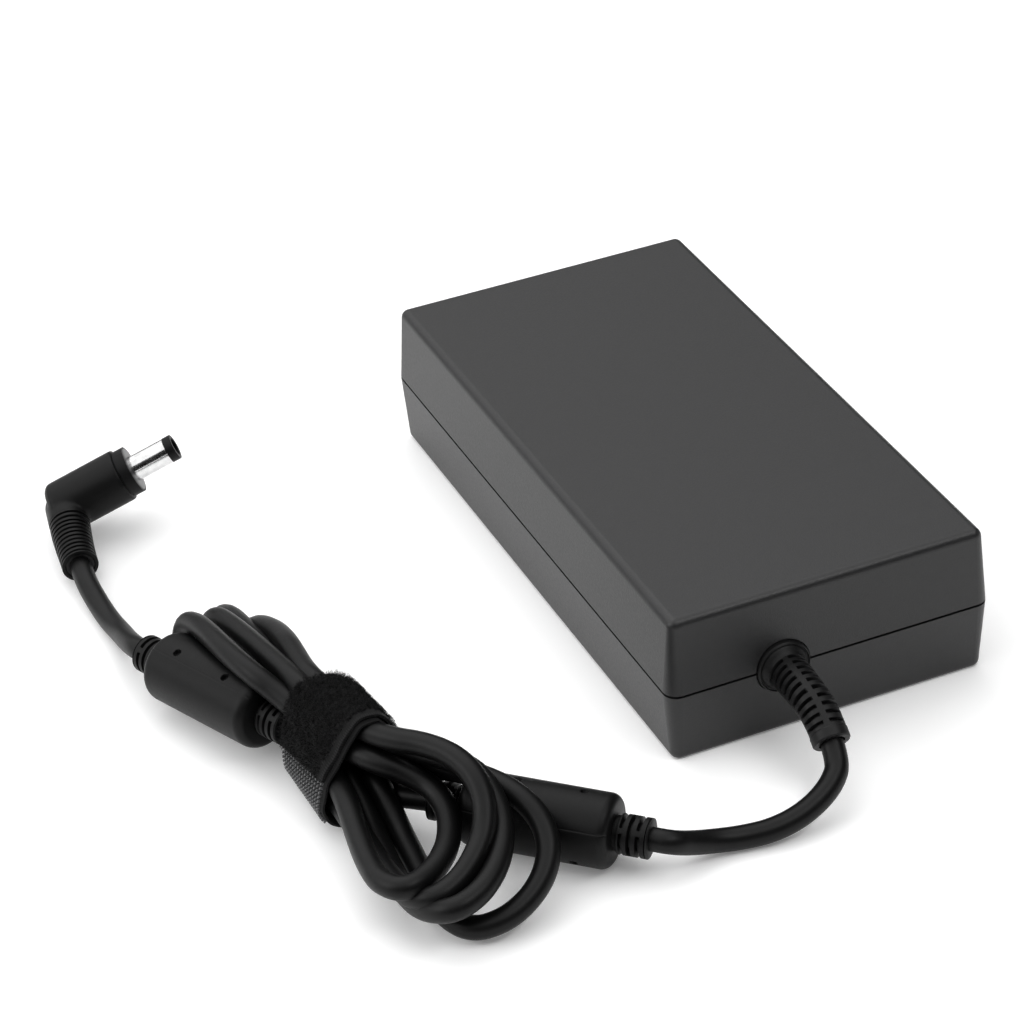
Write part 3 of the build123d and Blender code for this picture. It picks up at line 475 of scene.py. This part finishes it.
def through(points, count):
    """Evenly spread points on a smooth curve through the given ones."""
    pts = np.array([list(p) for p in points], dtype=float)
    pts = np.vstack([2 * pts[0] - pts[1], pts, 2 * pts[-1] - pts[-2]])
    line = []
    for a, b, c, d in zip(pts, pts[1:], pts[2:], pts[3:]):
        for k in range(CURVE_STEPS):
            t = k / CURVE_STEPS
            line.append(0.5 * (2 * b + (c - a) * t + (2 * a - 5 * b + 4 * c - d) * t ** 2
                               + (3 * b - a - 3 * c + d) * t ** 3))
    line.append(pts[-2])
    return resample(line, count=count)[0]


def loop_points(entry):
    """A loop's points between its two slots: + runs from its upper strand to its lower one."""
    name, upper_first = entry[0], entry[1] == "+"
    course = through([slot_point("t" + name)] + LOOPS[name] + [slot_point("r" + name)], LOOP_POINTS)
    points = [Vector(p) for p in course]
    return points if upper_first else points[::-1]


near_in = NEAR_FERRITE[1] + near_way * FERRITE_RELIEF_L
far_in = FAR_FERRITE[0] - far_way * FERRITE_RELIEF_L
STRAIGHT_AT_NEAR = 4   # of cord as it leaves each ferrite's relief
STRAIGHT_AT_FAR = 6
coil = [near_in, near_in + near_way * STRAIGHT_AT_NEAR]
for entry in STRANDS:
    coil += loop_points(entry) if entry[1] in "+-" else [slot_point(entry)]
coil += [far_in - far_way * STRAIGHT_AT_FAR, far_in]

STRAND_GAP = 6.25      # between the middles of two strands that touch
COIL_STEP = 4.0
SETTLE_ROUNDS = 260
FLOOR_Z = CORD_R + 0.05
STACK_WAY = np.array((-0.266, -0.730, 0.629))    # the loops lean on each other along this line
HOME_PULL = 0.15       # how far a round takes a strand back to its place, off STACK_WAY
LATE_PULL = 0.02       # the same in the last rounds
STACK_PULL = 0.004     # and along STACK_WAY
MOVE_LIMIT = 1.5
OWN_LENGTH = 16        # of cord that may touch the ferrite it comes from


def strap_edges():
    """The strap's outline at its left edge, middle and right edge, with the way out at each of its points."""
    edges = []
    for across in (0.0, 0.5, 1.0):
        ring = outline_at(across)[::8]
        after = np.roll(ring, -1, axis=0)
        normals = np.stack([(after - ring)[:, 1], -(after - ring)[:, 0]], axis=1)
        normals /= np.linalg.norm(normals, axis=1)[:, None]
        edges.append((ring, normals))
    return edges


def ferrite_rods():
    """The ferrites and their reliefs as rods: both ends, a strand's nearest distance, and whose start it is."""
    rods = []
    for ends, at_start in ((NEAR_FERRITE, True), (FAR_FERRITE, False)):
        axis = way(*ends)
        rods.append((ends[0], ends[1], FERRITE_R + CORD_R + 0.2, at_start))
        rods.append((ends[0] - axis * FERRITE_RELIEF_L, ends[1] + axis * FERRITE_RELIEF_L,
                     FERRITE_RELIEF_R + CORD_R + 0.1, at_start))
    return rods


def push_apart(pts, apart, order):
    """Lifts strands off each other along STACK_WAY; inside the strap they are pushed straight apart."""
    held = (pts[:, 1] < STRAP_LEFT_Y + 1) & (pts[:, 1] > STRAP_RIGHT_Y - 1)
    gap = pts[:, None, :] - pts[None, :, :]
    dist = np.linalg.norm(gap, axis=2) + 1e-6
    close = apart & (dist < STRAND_GAP)
    lean = gap @ STACK_WAY
    beside = np.sqrt(np.maximum(dist ** 2 - lean ** 2, 0))
    lack = np.sqrt(np.maximum(STRAND_GAP ** 2 - beside ** 2, 0)) - lean * order
    lift = np.where(close & ~held[:, None], order * np.clip(lack, 0, 4) * 0.22, 0)
    pts += np.clip(lift.sum(axis=1), -MOVE_LIMIT, MOVE_LIMIT)[:, None] * STACK_WAY
    push = np.where(close & held[:, None], (STRAND_GAP - dist) * 0.25, 0)
    pts += (gap / dist[:, :, None] * push[:, :, None]).sum(axis=1)


def keep_in_strap(pts, edges):
    """Moves strands that come through the strap back inside it."""
    inside = (pts[:, 1] < STRAP_LEFT_Y + 2) & (pts[:, 1] > STRAP_RIGHT_Y - 2)
    for i in np.nonzero(inside)[0]:
        across = min(1, max(0, (STRAP_LEFT_Y - pts[i, 1]) / (STRAP_LEFT_Y - STRAP_RIGHT_Y)))
        ring, normals = edges[int(round(across * 2))]
        spot = np.array([pts[i, 0] - WAIST.x, pts[i, 2] - WAIST.z])
        out = ((spot - ring) * normals).sum(axis=1) + STRAP_T + CORD_R
        k = int(out.argmax())
        if out[k] > 0:
            pts[i, 0] -= normals[k, 0] * out[k] * 0.6
            pts[i, 2] -= normals[k, 1] * out[k] * 0.6


def keep_off_rods(pts, rods):
    """Moves strands off the ferrites, along STACK_WAY where that leads off them."""
    arc = np.arange(len(pts)) * COIL_STEP
    for a, b, reach, at_start in rods:
        axis = np.array(b - a)
        size = np.linalg.norm(axis)
        axis /= size
        rel = pts - np.array(a)
        along = rel @ axis
        off = rel - along[:, None] * axis
        dist = np.linalg.norm(off, axis=1) + 1e-6
        own = arc < OWN_LENGTH if at_start else arc > arc[-1] - OWN_LENGTH
        hit = (along > -1) & (along < size + 1) & (dist < reach) & ~own
        facing = off[hit] @ STACK_WAY / dist[hit]
        short = (reach - dist[hit]) * 0.5
        leaning = np.abs(facing) > 0.2
        climb = np.clip(short / np.where(leaning, facing, 1), -MOVE_LIMIT, MOVE_LIMIT)[:, None] * STACK_WAY
        aside = off[hit] / dist[hit, None] * short[:, None]
        pts[hit] += np.where(leaning[:, None], climb, aside)


def settle(line):
    """Moves a wound cord's points apart until its strands lie beside and on each other, inside the strap."""
    home, _ = resample(line, step=COIL_STEP)
    pts = home.copy()
    number = np.arange(len(pts))
    apart = np.abs(np.subtract.outer(number, number)) * COIL_STEP > 4.5 * CORD_D
    order = np.sign((home[:, None, :] - home[None, :, :]) @ STACK_WAY)
    edges = strap_edges()
    rods = ferrite_rods()
    for turn in range(SETTLE_ROUNDS):
        pull = HOME_PULL if turn < SETTLE_ROUNDS * 0.8 else LATE_PULL
        back = home - pts
        leant = (back @ STACK_WAY)[:, None] * STACK_WAY
        pts += (back - leant) * pull + leant * STACK_PULL
        push_apart(pts, apart, order)
        keep_in_strap(pts, edges)
        keep_off_rods(pts, rods)
        pts[:, 2] = np.maximum(pts[:, 2], FLOOR_Z)
        shift = pts - home
        smooth = shift.copy()
        smooth[1:-1] = 0.5 * shift[1:-1] + 0.25 * (shift[:-2] + shift[2:])
        smooth[:2] = 0
        smooth[-2:] = 0
        pts = home + smooth
    return pts


wound = settle(read_line(coil))
wound_points = [Vector(p) for p in wound[::2]]

# ------------------------------------------------------------------ the cord
sleeve_line = read_line(SLEEVE_ROUTE)
sleeve_end = Vector(SLEEVE_ROUTE[-1])
sleeve_way = way(SLEEVE_ROUTE[-2], SLEEVE_ROUTE[-1])
neck_end = Vector(NECK_ROUTE[-1])
neck_way = way(NECK_ROUTE[-1], NECK_ROUTE[-2])
HIDDEN_L = 2.4         # of cord inside the bore of a relief at each end
cord_points = [sleeve_end - sleeve_way * HIDDEN_L]
cord_points += [Vector(p) for p in CASE_SIDE_ROUTE[1:]]
cord_points += [NEAR_FERRITE[0] - near_way * FERRITE_RELIEF_L, NEAR_FERRITE[0], NEAR_FERRITE[1]]
cord_points += wound_points[:-1]
cord_points += [far_in, FAR_FERRITE[0], FAR_FERRITE[1], FAR_FERRITE[1] + far_way * FERRITE_RELIEF_L]
cord_points += [Vector(p) for p in PLUG_SIDE_ROUTE[:-1]]
cord_points += [neck_end + neck_way * HIDDEN_L]
cord = nurbs_curve("output_cord", cord_points)
cord.data.bevel_depth = CORD_R * MM
cord.data.bevel_resolution = 7
cord.data.use_fill_caps = True
cord.data.materials.append(FINISH["cord_jacket"])
cord_line = read_line(cord_points)
CORD_LENGTH = sum((b - a).length for a, b in zip(cord_line, cord_line[1:]))
print("cord length mm", round(CORD_LENGTH, 1), "coil points", len(wound_points))
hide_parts("cord_case_side", "cord_plug_side", "near_ferrite_cord", "far_ferrite_cord", "hank")
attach(cord, "adapter")

# ------------------------------------------------------------------ strain relief at the case
ROW_PITCH = 2.2        # from one row of slots to the next
SLOT_W = 0.85
SLOT_EDGE = 0.16       # over which a slot's wall falls
SLOT_FLOOR_R = 3.6
RELIEF_BORE_R = 3.45
SLEEVE_TAPER = 0.45
SLEEVE_ROOT_RISE = 1.5
SLEEVE_ROOT_L = 2.6


def slotted(distance, angle, start, stop, outer, rows, first, web_w=0.7, stagger=0.5):
    """Radius of a relief whose rings are cut by slots, in rows with webs between."""
    if not start < distance < stop:
        return outer
    ring = (distance - start) / ROW_PITCH
    across = abs(ring - int(ring) - 0.5) * ROW_PITCH
    turn = ((angle / (2 * math.pi) + first) * rows + stagger * (int(ring) % 2)) % 1.0
    web = min(turn, 1 - turn) * 2 * math.pi / rows * outer
    depth = smoothstep(((SLOT_W + SLOT_EDGE) / 2 - across) / SLOT_EDGE) * smoothstep((web - web_w) / 0.25)
    return outer - (outer - SLOT_FLOOR_R) * depth


def sleeve_radius(distance, angle, whole):
    taper = SLEEVE_R - SLEEVE_TAPER * smoothstep(distance / whole)
    root = SLEEVE_ROOT_RISE * (1 - smoothstep(distance / SLEEVE_ROOT_L))
    to_end = whole - distance
    lip = 0.15 * smoothstep((2.9 - to_end) / 0.25) - 0.3 * smoothstep((0.4 - to_end) / 0.4)
    return slotted(distance, angle, 2.0, whole - 3.0, taper + root + lip, 4, 0.04, 0.8, 0.0)


sleeve = sweep_rings(
    "strain_relief_sleeve", sleeve_line, sleeve_radius, FINISH["relief_rubber"], 132, 0.11, bore=RELIEF_BORE_R
)
GLAND = Vector(SLEEVE_ROUTE[0])
GLAND_R = 7.7


def lathe(name, start, axis, profile, material, around=128, sharp=35):
    """A closed turned solid: profile is (distance along the axis, radius) from end to end, in mm."""
    start, axis = Vector(start), Vector(axis).normalized()
    side = axis.orthogonal().normalized()
    over = axis.cross(side)
    verts, faces = [], []
    for distance, radius in profile:
        for k in range(around):
            angle = 2 * math.pi * k / around
            verts.append(start + axis * distance + (side * math.cos(angle) + over * math.sin(angle)) * radius)
    for i in range(len(profile) - 1):
        for k in range(around):
            n = (k + 1) % around
            faces.append((i * around + k, i * around + n, (i + 1) * around + n, (i + 1) * around + k))
    faces.append(tuple(range(around))[::-1])
    faces.append(tuple(range(len(verts) - around, len(verts))))
    return new_piece(name, verts, faces, material, sharp=sharp)


def rounded(points, radius, steps=5):
    """A profile with its inner corners rounded."""
    out = [Vector(points[0])]
    for before, here, after in zip(points, points[1:], points[2:]):
        a, b, c = Vector(before), Vector(here), Vector(after)
        cut = min(radius, (b - a).length * 0.45, (c - b).length * 0.45)
        p, q = b + (a - b).normalized() * cut, b + (c - b).normalized() * cut
        for k in range(steps + 1):
            t = k / steps
            out.append(p * (1 - t) ** 2 + b * 2 * t * (1 - t) + q * t * t)
    out.append(Vector(points[-1]))
    return out


boss = lathe(
    "strain_relief_boss", GLAND, (0, -1, 0),
    rounded([(-2.0, 6.0), (-2.0, GLAND_R - 0.25), (0.45, GLAND_R - 0.25), (0.9, GLAND_R - 0.75), (0.9, 7.0),
             (0.55, 6.85), (0.55, 6.3), (0.95, 5.9), (0.95, 3.0)], 0.25),
    FINISH["relief_rubber"],
)
for piece in (sleeve, boss):
    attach(piece, "adapter")
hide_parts("strain_relief")


# ------------------------------------------------------------------ ferrite chokes
FERRITE_EDGE = 2.6     # rounding of the cover's ends
HUB_R = 4.4            # of its reliefs between the ribs and the cover
RIB_RISE = 0.7
SEAM_DEPTH = 0.16
SEAM_HALF_W = 0.22
PIN_HOLE_R = 0.85
PIN_HOLE_DEPTH = 1.1


def turned(angle):
    """The same angle between -pi and pi."""
    return (angle + math.pi) % (2 * math.pi) - math.pi


def ferrite(name, ends, seam_angle, holes, cover_node):
    """A moulded cover with a seam along both sides, mould-pin holes, and a slotted relief at each end."""
    axis = way(*ends)
    body = (ends[1] - ends[0]).length
    line = [ends[0] - axis * FERRITE_RELIEF_L, ends[1] + axis * FERRITE_RELIEF_L]

    def radius(distance, angle, whole):
        s = distance - FERRITE_RELIEF_L
        if s < 0 or s > body:
            out = -s if s < 0 else s - body
            rib = smoothstep((out - 1.0) / 0.2) * (1 - smoothstep((out - FERRITE_RELIEF_L + 0.3) / 0.3))
            return slotted(out, angle, 1.1, FERRITE_RELIEF_L - 0.5, HUB_R + RIB_RISE * rib, 2, 0.13)
        r = FERRITE_R
        inset = min(s, body - s)
        if inset < FERRITE_EDGE:
            r += math.sqrt(max(0.0, FERRITE_EDGE ** 2 - (FERRITE_EDGE - inset) ** 2)) - FERRITE_EDGE
            if inset < 0.12:
                r = HUB_R + (r - HUB_R) * smoothstep(inset / 0.12)
        from_seam = turned(angle - seam_angle)
        for off in (from_seam, turned(from_seam + math.pi)):
            r -= SEAM_DEPTH * (1 - smoothstep(abs(off) * FERRITE_R / SEAM_HALF_W))
        for place, at_angle in holes:
            far = math.hypot(s - place * body, turned(angle - at_angle) * FERRITE_R)
            r -= PIN_HOLE_DEPTH * (1 - smoothstep((far - PIN_HOLE_R) / 0.3))
        return r

    piece = sweep_rings(name, line, radius, FINISH["plug_rubber"], 300, 0.14, bore=RELIEF_BORE_R, sharp=50)
    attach(piece, "adapter")
    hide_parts(cover_node)
    return piece


# Each hole: its place along the cover, 0 to 1, and its angle round it.
near_cover = ferrite(
    "near_choke_cover", NEAR_FERRITE, 2.6, [(0.66, 1.30), (0.22, 1.31), (0.22, -2.57)], "near_ferrite_cover"
)
far_cover = ferrite("far_choke_cover", FAR_FERRITE, -1.04, [(0.28, 1.9), (0.76, 1.9)], "far_ferrite_cover")


# ------------------------------------------------------------------ the strap
def strap_point(turn, across, offset):
    """A point on the strap: turn 0 to 1 round its outline, across 0 to 1 from left to right, offset outward."""
    ring = outline_at(min(1, max(0, across)))
    place = (turn % 1.0) * OUTLINE_STEPS
    i = int(place) % OUTLINE_STEPS
    t = place - int(place)
    here = ring[i] * (1 - t) + ring[(i + 1) % OUTLINE_STEPS] * t
    tangent = ring[(i + 4) % OUTLINE_STEPS] - ring[(i - 4) % OUTLINE_STEPS]
    tangent = tangent / np.linalg.norm(tangent)
    u = here[0] + tangent[1] * offset
    v = here[1] - tangent[0] * offset
    y = STRAP_LEFT_Y + (STRAP_RIGHT_Y - STRAP_LEFT_Y) * across
    return Vector((WAIST.x + u, y, max(0.25, WAIST.z + v)))


TURN_LENGTH = 0.092    # of tape in one turn, in metres, for its weave
TAPE_WIDTH = 0.026


def strap_strip(name, turns, across, top, thick, material, closed=False, wave=0.0, slant=0.0):
    """A strip of tape lying on the outline, with a real thickness."""
    along_count = max(8, int(110 * abs(turns[1] - turns[0])))
    across_count = 26
    verts, uvs, faces = [], [], []
    rows = along_count if closed else along_count + 1
    for i in range(rows):
        part = i / along_count
        turn = turns[0] + (turns[1] - turns[0]) * part
        for face in (0, 1):
            for j in range(across_count + 1):
                m = j / across_count
                edge = min(m, 1 - m) * 25
                soft = 0.18 * (1 - smoothstep(edge / 0.8))
                ripple = wave * math.sin(turn * 61 + 2 * m) * (1 - smoothstep(edge / 5))
                offset = top + ripple - (thick - soft if face else soft)
                where = across[0] + (across[1] - across[0]) * m
                where += wave * 0.02 * math.sin(turn * 37) * (1 if m > 0.5 else -1) * abs(2 * m - 1) ** 4
                place = turn + slant * (m - 0.5) * part
                verts.append(strap_point(place, where, offset))
                uvs.append((place * TURN_LENGTH, where * TAPE_WIDTH + 0.05 * face))
    width = across_count + 1
    block = 2 * width
    for i in range(along_count):
        a, b = i * block, ((i + 1) % rows) * block
        for j in range(across_count):
            faces.append((a + j, b + j, b + j + 1, a + j + 1))
            faces.append((a + width + j + 1, b + width + j + 1, b + width + j, a + width + j))
        faces.append((a, a + width, b + width, b))
        faces.append((a + across_count, b + across_count, b + block - 1, a + block - 1))
    if not closed:
        for a, flip in ((0, False), ((rows - 1) * block, True)):
            for j in range(across_count):
                quad = (a + j, a + j + 1, a + width + j + 1, a + width + j)
                faces.append(quad[::-1] if flip else quad)
    return new_piece(name, verts, faces, material, uvs=uvs, sharp=45)


def fibres(name, turns, across, offset, count, length, thick, material, seed, keep=None):
    """Curled loops of pile standing on the strap, each a thin bent three-sided thread."""
    rng = random.Random(seed)
    verts, faces = [], []
    for _ in range(count):
        turn = rng.uniform(*turns)
        m = rng.uniform(*across)
        if keep and not keep(turn, m):
            continue
        root = strap_point(turn, m, offset)
        up = (strap_point(turn, m, offset + 1) - root).normalized()
        side = up.orthogonal().normalized()
        side.rotate(Matrix.Rotation(rng.uniform(0, 2 * math.pi), 3, up))
        cross = up.cross(side)
        tall = length * rng.uniform(0.55, 1.15)
        lean = rng.uniform(0.3, 1.0) * tall
        curl = rng.uniform(-0.5, 0.5) * tall
        path = [
            root,
            root + up * tall * 0.6 + side * lean * 0.25,
            root + up * tall + side * lean * 0.8 + cross * curl * 0.6,
            root + up * tall * 0.75 + side * lean * 1.3 + cross * curl,
        ]
        start = len(verts)
        for k, p in enumerate(path):
            r = thick * (1.0, 0.9, 0.75, 0.4)[k]
            for c in range(3):
                a = 2 * math.pi * c / 3
                verts.append(p + (side * math.cos(a) + cross * math.sin(a)) * r)
        for k in range(3):
            a, b = start + 3 * k, start + 3 * k + 3
            for c in range(3):
                n = (c + 1) % 3
                faces.append((a + c, a + n, b + n, b + c))
        faces.append((start + 2, start + 1, start))
        faces.append((start + 9, start + 10, start + 11))
    return new_piece(name, verts, faces, material, smooth=True)


def pile_material():
    mat, tree, bsdf = new_material("pile_nylon")
    colors = ramp(tree, noise(tree, 700, 3), (0.001, 0.001, 0.0011), (0.007, 0.007, 0.0072))
    tree.links.new(colors, bsdf.inputs["Base Color"])
    tree.links.new(bump(tree, noise(tree, 1600, 4), 0.0003, 0.9), bsdf.inputs["Normal"])
    bsdf.inputs["Roughness"].default_value = 0.75
    bsdf.inputs["Specular IOR Level"].default_value = 0.15
    bsdf.inputs["Sheen Weight"].default_value = 0.03
    bsdf.inputs["Sheen Roughness"].default_value = 0.5
    return mat


PILE = pile_material()
# Hooks in a lighter grey than the black tape: painted glint of the light their tips catch.
HOOKS_PAINTED_GLINT = moulded("hook_nylon_painted_glint", (0.14, 0.14, 0.143), 0.3, 2000, 0.00001)
TAPE_LIGHT = woven("woven_backing", (0.008, 0.008, 0.0083), 0.0006)

FREE_END = 0.34       # place round the outline where the strap's free end stops
FREE_END_SLANT = -0.08    # how much sooner it ends at the right edge than at the left
WRAP_START = -0.12
band = strap_strip("strap_inner_band", (0, 1), (0.0, 1.03), -1.35, 0.95, TAPE_LIGHT, closed=True, wave=0.12)
wrap = strap_strip(
    "strap_wrap", (WRAP_START, FREE_END), (0.0, 0.985), -0.05, 1.1, TAPE, wave=0.1, slant=FREE_END_SLANT
)
pile = fibres(
    "strap_pile", (WRAP_START, FREE_END + 0.04), (0.0, 0.9), -0.35, 6500, 1.15, 0.075, PILE, 7,
    keep=lambda turn, m: turn < FREE_END - 0.004 + FREE_END_SLANT * (m - 0.5),
)


def join(first, others):
    bpy.ops.object.select_all(action="DESELECT")
    for obj in [first] + others:
        obj.select_set(True)
    bpy.context.view_layer.objects.active = first
    bpy.ops.object.join()
    return first


wrap = join(wrap, [pile])
HOOK_ROWS = 12
HOOK_COLUMNS = 17
HOOK_SHAPE = [(0, 0, 0.4), (0.5, 0.0, 0.36), (0.85, 0.1, 0.36), (1.0, 0.25, 0.3)]    # rise, reach, radius


def hook_grid():
    """Small bent hooks in rows on the strap's lower part, below its free end."""
    verts, faces = [], []
    for i in range(HOOK_ROWS):
        for j in range(HOOK_COLUMNS):
            m = 0.03 + 0.93 * j / (HOOK_COLUMNS - 1)
            turn = FREE_END + FREE_END_SLANT * (m - 0.5) + 0.01 + 0.19 * i / (HOOK_ROWS - 1)
            root = strap_point(turn, m, -1.5)
            up = (strap_point(turn, m, -0.5) - root).normalized()
            along = Vector((0, -1, 0))
            cross = up.cross(along).normalized()
            start = len(verts)
            for rise, reach, r in HOOK_SHAPE:
                p = root + up * rise + along * reach
                for c in range(6):
                    a = math.pi * c / 3
                    verts.append(p + (along * math.cos(a) + cross * math.sin(a)) * r)
            for k in range(3):
                a, b = start + 6 * k, start + 6 * k + 6
                for c in range(6):
                    n = (c + 1) % 6
                    faces.append((a + c, a + n, b + n, b + c))
            faces.append(tuple(range(start, start + 6))[::-1])
            faces.append(tuple(range(start + 18, start + 24)))
    return new_piece("strap_hooks", verts, faces, HOOKS_PAINTED_GLINT)


hooks = hook_grid()
for piece in (band, hooks):
    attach(piece, "adapter")
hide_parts("strap_band")
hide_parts("strap_tab")
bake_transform(wrap)


# ------------------------------------------------------------------ the plug
COLLAR_FACE = moulded("collar_face_grey", (0.05, 0.05, 0.052), 0.35, 2200, 0.00002, 0.4, 0.06)


NECK_R = 5.9
NECK_CORE_R = 4.35
RIB_R = 5.7
RIB_COUNT = 11.55


def neck_radius(distance, angle, whole):
    return NECK_R - 0.45 * smoothstep(distance / whole) if distance < 0.33 * whole else 4.3


def neck_ribs(distance, angle, whole):
    start = 0.28 * whole
    if distance < start:
        return 4.2
    pitch = (whole - start) / RIB_COUNT
    phase = ((distance - start) / pitch) % 1.0
    outer = RIB_R - 0.6 * smoothstep((distance - start) / (whole - start))
    rib = smoothstep((0.5 - abs(phase - 0.5)) / 0.09 - 1.6)
    return NECK_CORE_R + (outer - NECK_CORE_R) * rib


def merge(obj, material):
    """Turns overlapping solids into one skin that runs from one to the next in a fillet."""
    remesh = obj.modifiers.new("merge", "REMESH")
    remesh.mode = "VOXEL"
    remesh.voxel_size = 0.4 * MM
    remesh.use_smooth_shade = True
    ease = obj.modifiers.new("ease", "CORRECTIVE_SMOOTH")
    ease.iterations = 6
    ease.smooth_type = "SIMPLE"
    ease.use_only_smooth = True
    mesh = bpy.data.meshes.new_from_object(obj.evaluated_get(bpy.context.evaluated_depsgraph_get()))
    obj.modifiers.clear()
    obj.data = mesh
    obj.data.materials.clear()
    obj.data.materials.append(material)
    for face in obj.data.polygons:
        face.use_smooth = True


def plug_shell():
    """The overmoulded body and its neck."""
    profile = [(0, 3.0), (0, PLUG_BODY_R - 1.5), (1.5, PLUG_BODY_R), (PLUG_BODY_L, PLUG_BODY_R),
               (PLUG_BODY_L, 3.0)]
    body = lathe("plug_body", PLUG_REAR, barrel_way, rounded(profile, 0.5), FINISH["plug_rubber"], 96)
    neck = sweep_rings("plug_neck", read_line(NECK_ROUTE), neck_radius, FINISH["plug_rubber"], 64, 0.5)
    join(body, [neck])
    merge(body, FINISH["plug_rubber"])
    return body


shell = plug_shell()
relief = sweep_rings(
    "plug_relief", read_line(NECK_ROUTE), neck_ribs, FINISH["plug_rubber"], 96, 0.09, bore=4.2, sharp=50
)
for piece in (shell, relief):
    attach(piece, "adapter")
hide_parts("plug_shell")
collar_face = lathe(
    "plug_collar_face", PLUG_REAR + barrel_way * (PLUG_BODY_L + PLUG_COLLAR_L), barrel_way,
    [(-0.4, 4.2), (-0.4, 6.35), (0.04, 6.35), (0.12, 6.2), (0.12, 4.2)], COLLAR_FACE,
)
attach(collar_face, "adapter")

# ------------------------------------------------------------------ floor, light and camera
floor_mesh = bpy.data.meshes.new("floor")
floor_mesh.from_pydata([(-4, -4, 0), (4, -4, 0), (4, 4, 0), (-4, 4, 0)], [], [(0, 1, 2, 3)])
floor = bpy.data.objects.new("floor", floor_mesh)
bpy.context.scene.collection.objects.link(floor)
paper, paper_tree, paper_bsdf = new_material("pale_paper")
paper_colors = ramp(paper_tree, noise(paper_tree, 2, 2), (0.93, 0.93, 0.93), (0.96, 0.96, 0.96))
paper_tree.links.new(paper_colors, paper_bsdf.inputs["Base Color"])
paper_bsdf.inputs["Roughness"].default_value = 0.9
paper_bsdf.inputs["Specular IOR Level"].default_value = 0.1
paper_bsdf.inputs["Emission Color"].default_value = (1, 1, 1, 1)
paper_bsdf.inputs["Emission Strength"].default_value = 0.15
floor_mesh.materials.append(paper)

SKY_WAY = (-0.35, 0.72, 0.6)    # the brightest part of the studio: behind, left and above
world = bpy.data.worlds.new("studio")
bpy.context.scene.world = world
world.use_nodes = True
sky = world.node_tree
facing = sky.nodes.new("ShaderNodeVectorMath")
facing.operation = "DOT_PRODUCT"
facing.inputs[1].default_value = SKY_WAY
sky.links.new(sky.nodes.new("ShaderNodeTexCoord").outputs["Generated"], facing.inputs[0])
glow = sky.nodes.new("ShaderNodeMapRange")
glow.interpolation_type = "SMOOTHSTEP"
glow.inputs["From Min"].default_value = -0.5
glow.inputs["From Max"].default_value = 0.85
glow.inputs["To Min"].default_value = 0.06
glow.inputs["To Max"].default_value = 1.9
sky.links.new(facing.outputs["Value"], glow.inputs["Value"])
sky.links.new(glow.outputs[0], sky.nodes["Background"].inputs["Strength"])
bpy.context.scene.view_settings.view_transform = "Standard"


def area_light(name, place, target, size, power):
    data = bpy.data.lights.new(name, "AREA")
    data.shape = "RECTANGLE"
    data.size, data.size_y = size
    data.energy = power
    obj = bpy.data.objects.new(name, data)
    obj.location = place
    obj.rotation_euler = (Vector(target) - Vector(place)).to_track_quat("-Z", "Y").to_euler()
    bpy.context.scene.collection.objects.link(obj)


MIDDLE = (-0.04, -0.02, 0.02)
area_light("overhead_softbox", (-0.15, 0.45, 1.1), MIDDLE, (1.0, 0.8), 2.5)
area_light("left_softbox", (-1.2, 0.15, 0.55), MIDDLE, (0.8, 0.7), 4)
area_light("front_strip", (0.33, -0.6, 0.95), MIDDLE, (0.8, 0.16), 3)
sun_data = bpy.data.lights.new("ceiling_light", "SUN")
sun_data.energy = 2.8
sun_data.angle = math.radians(110)
sun = bpy.data.objects.new("ceiling_light", sun_data)
sun.rotation_euler = Vector((-0.25, 0.35, 1)).to_track_quat("Z", "Y").to_euler()
bpy.context.scene.collection.objects.link(sun)

camera_data = bpy.data.cameras.new("camera")
camera_data.lens = 122.6
camera_data.sensor_width = 36
camera = bpy.data.objects.new("camera", camera_data)
CAMERA_PLACE = Vector((-0.3389, -0.7255, 0.5398))
CAMERA_TARGET = Vector((-0.04568, 0.00823, 0.02))
CAMERA_ROLL = math.radians(-3.621)
look = (CAMERA_TARGET - CAMERA_PLACE).to_track_quat("-Z", "Y").to_matrix()
facing_target = (look @ Matrix.Rotation(CAMERA_ROLL, 3, "Z")).to_4x4()
camera.matrix_world = Matrix.Translation(CAMERA_PLACE) @ facing_target
camera_data.clip_end = 20
bpy.context.scene.collection.objects.link(camera)
bpy.context.scene.camera = camera
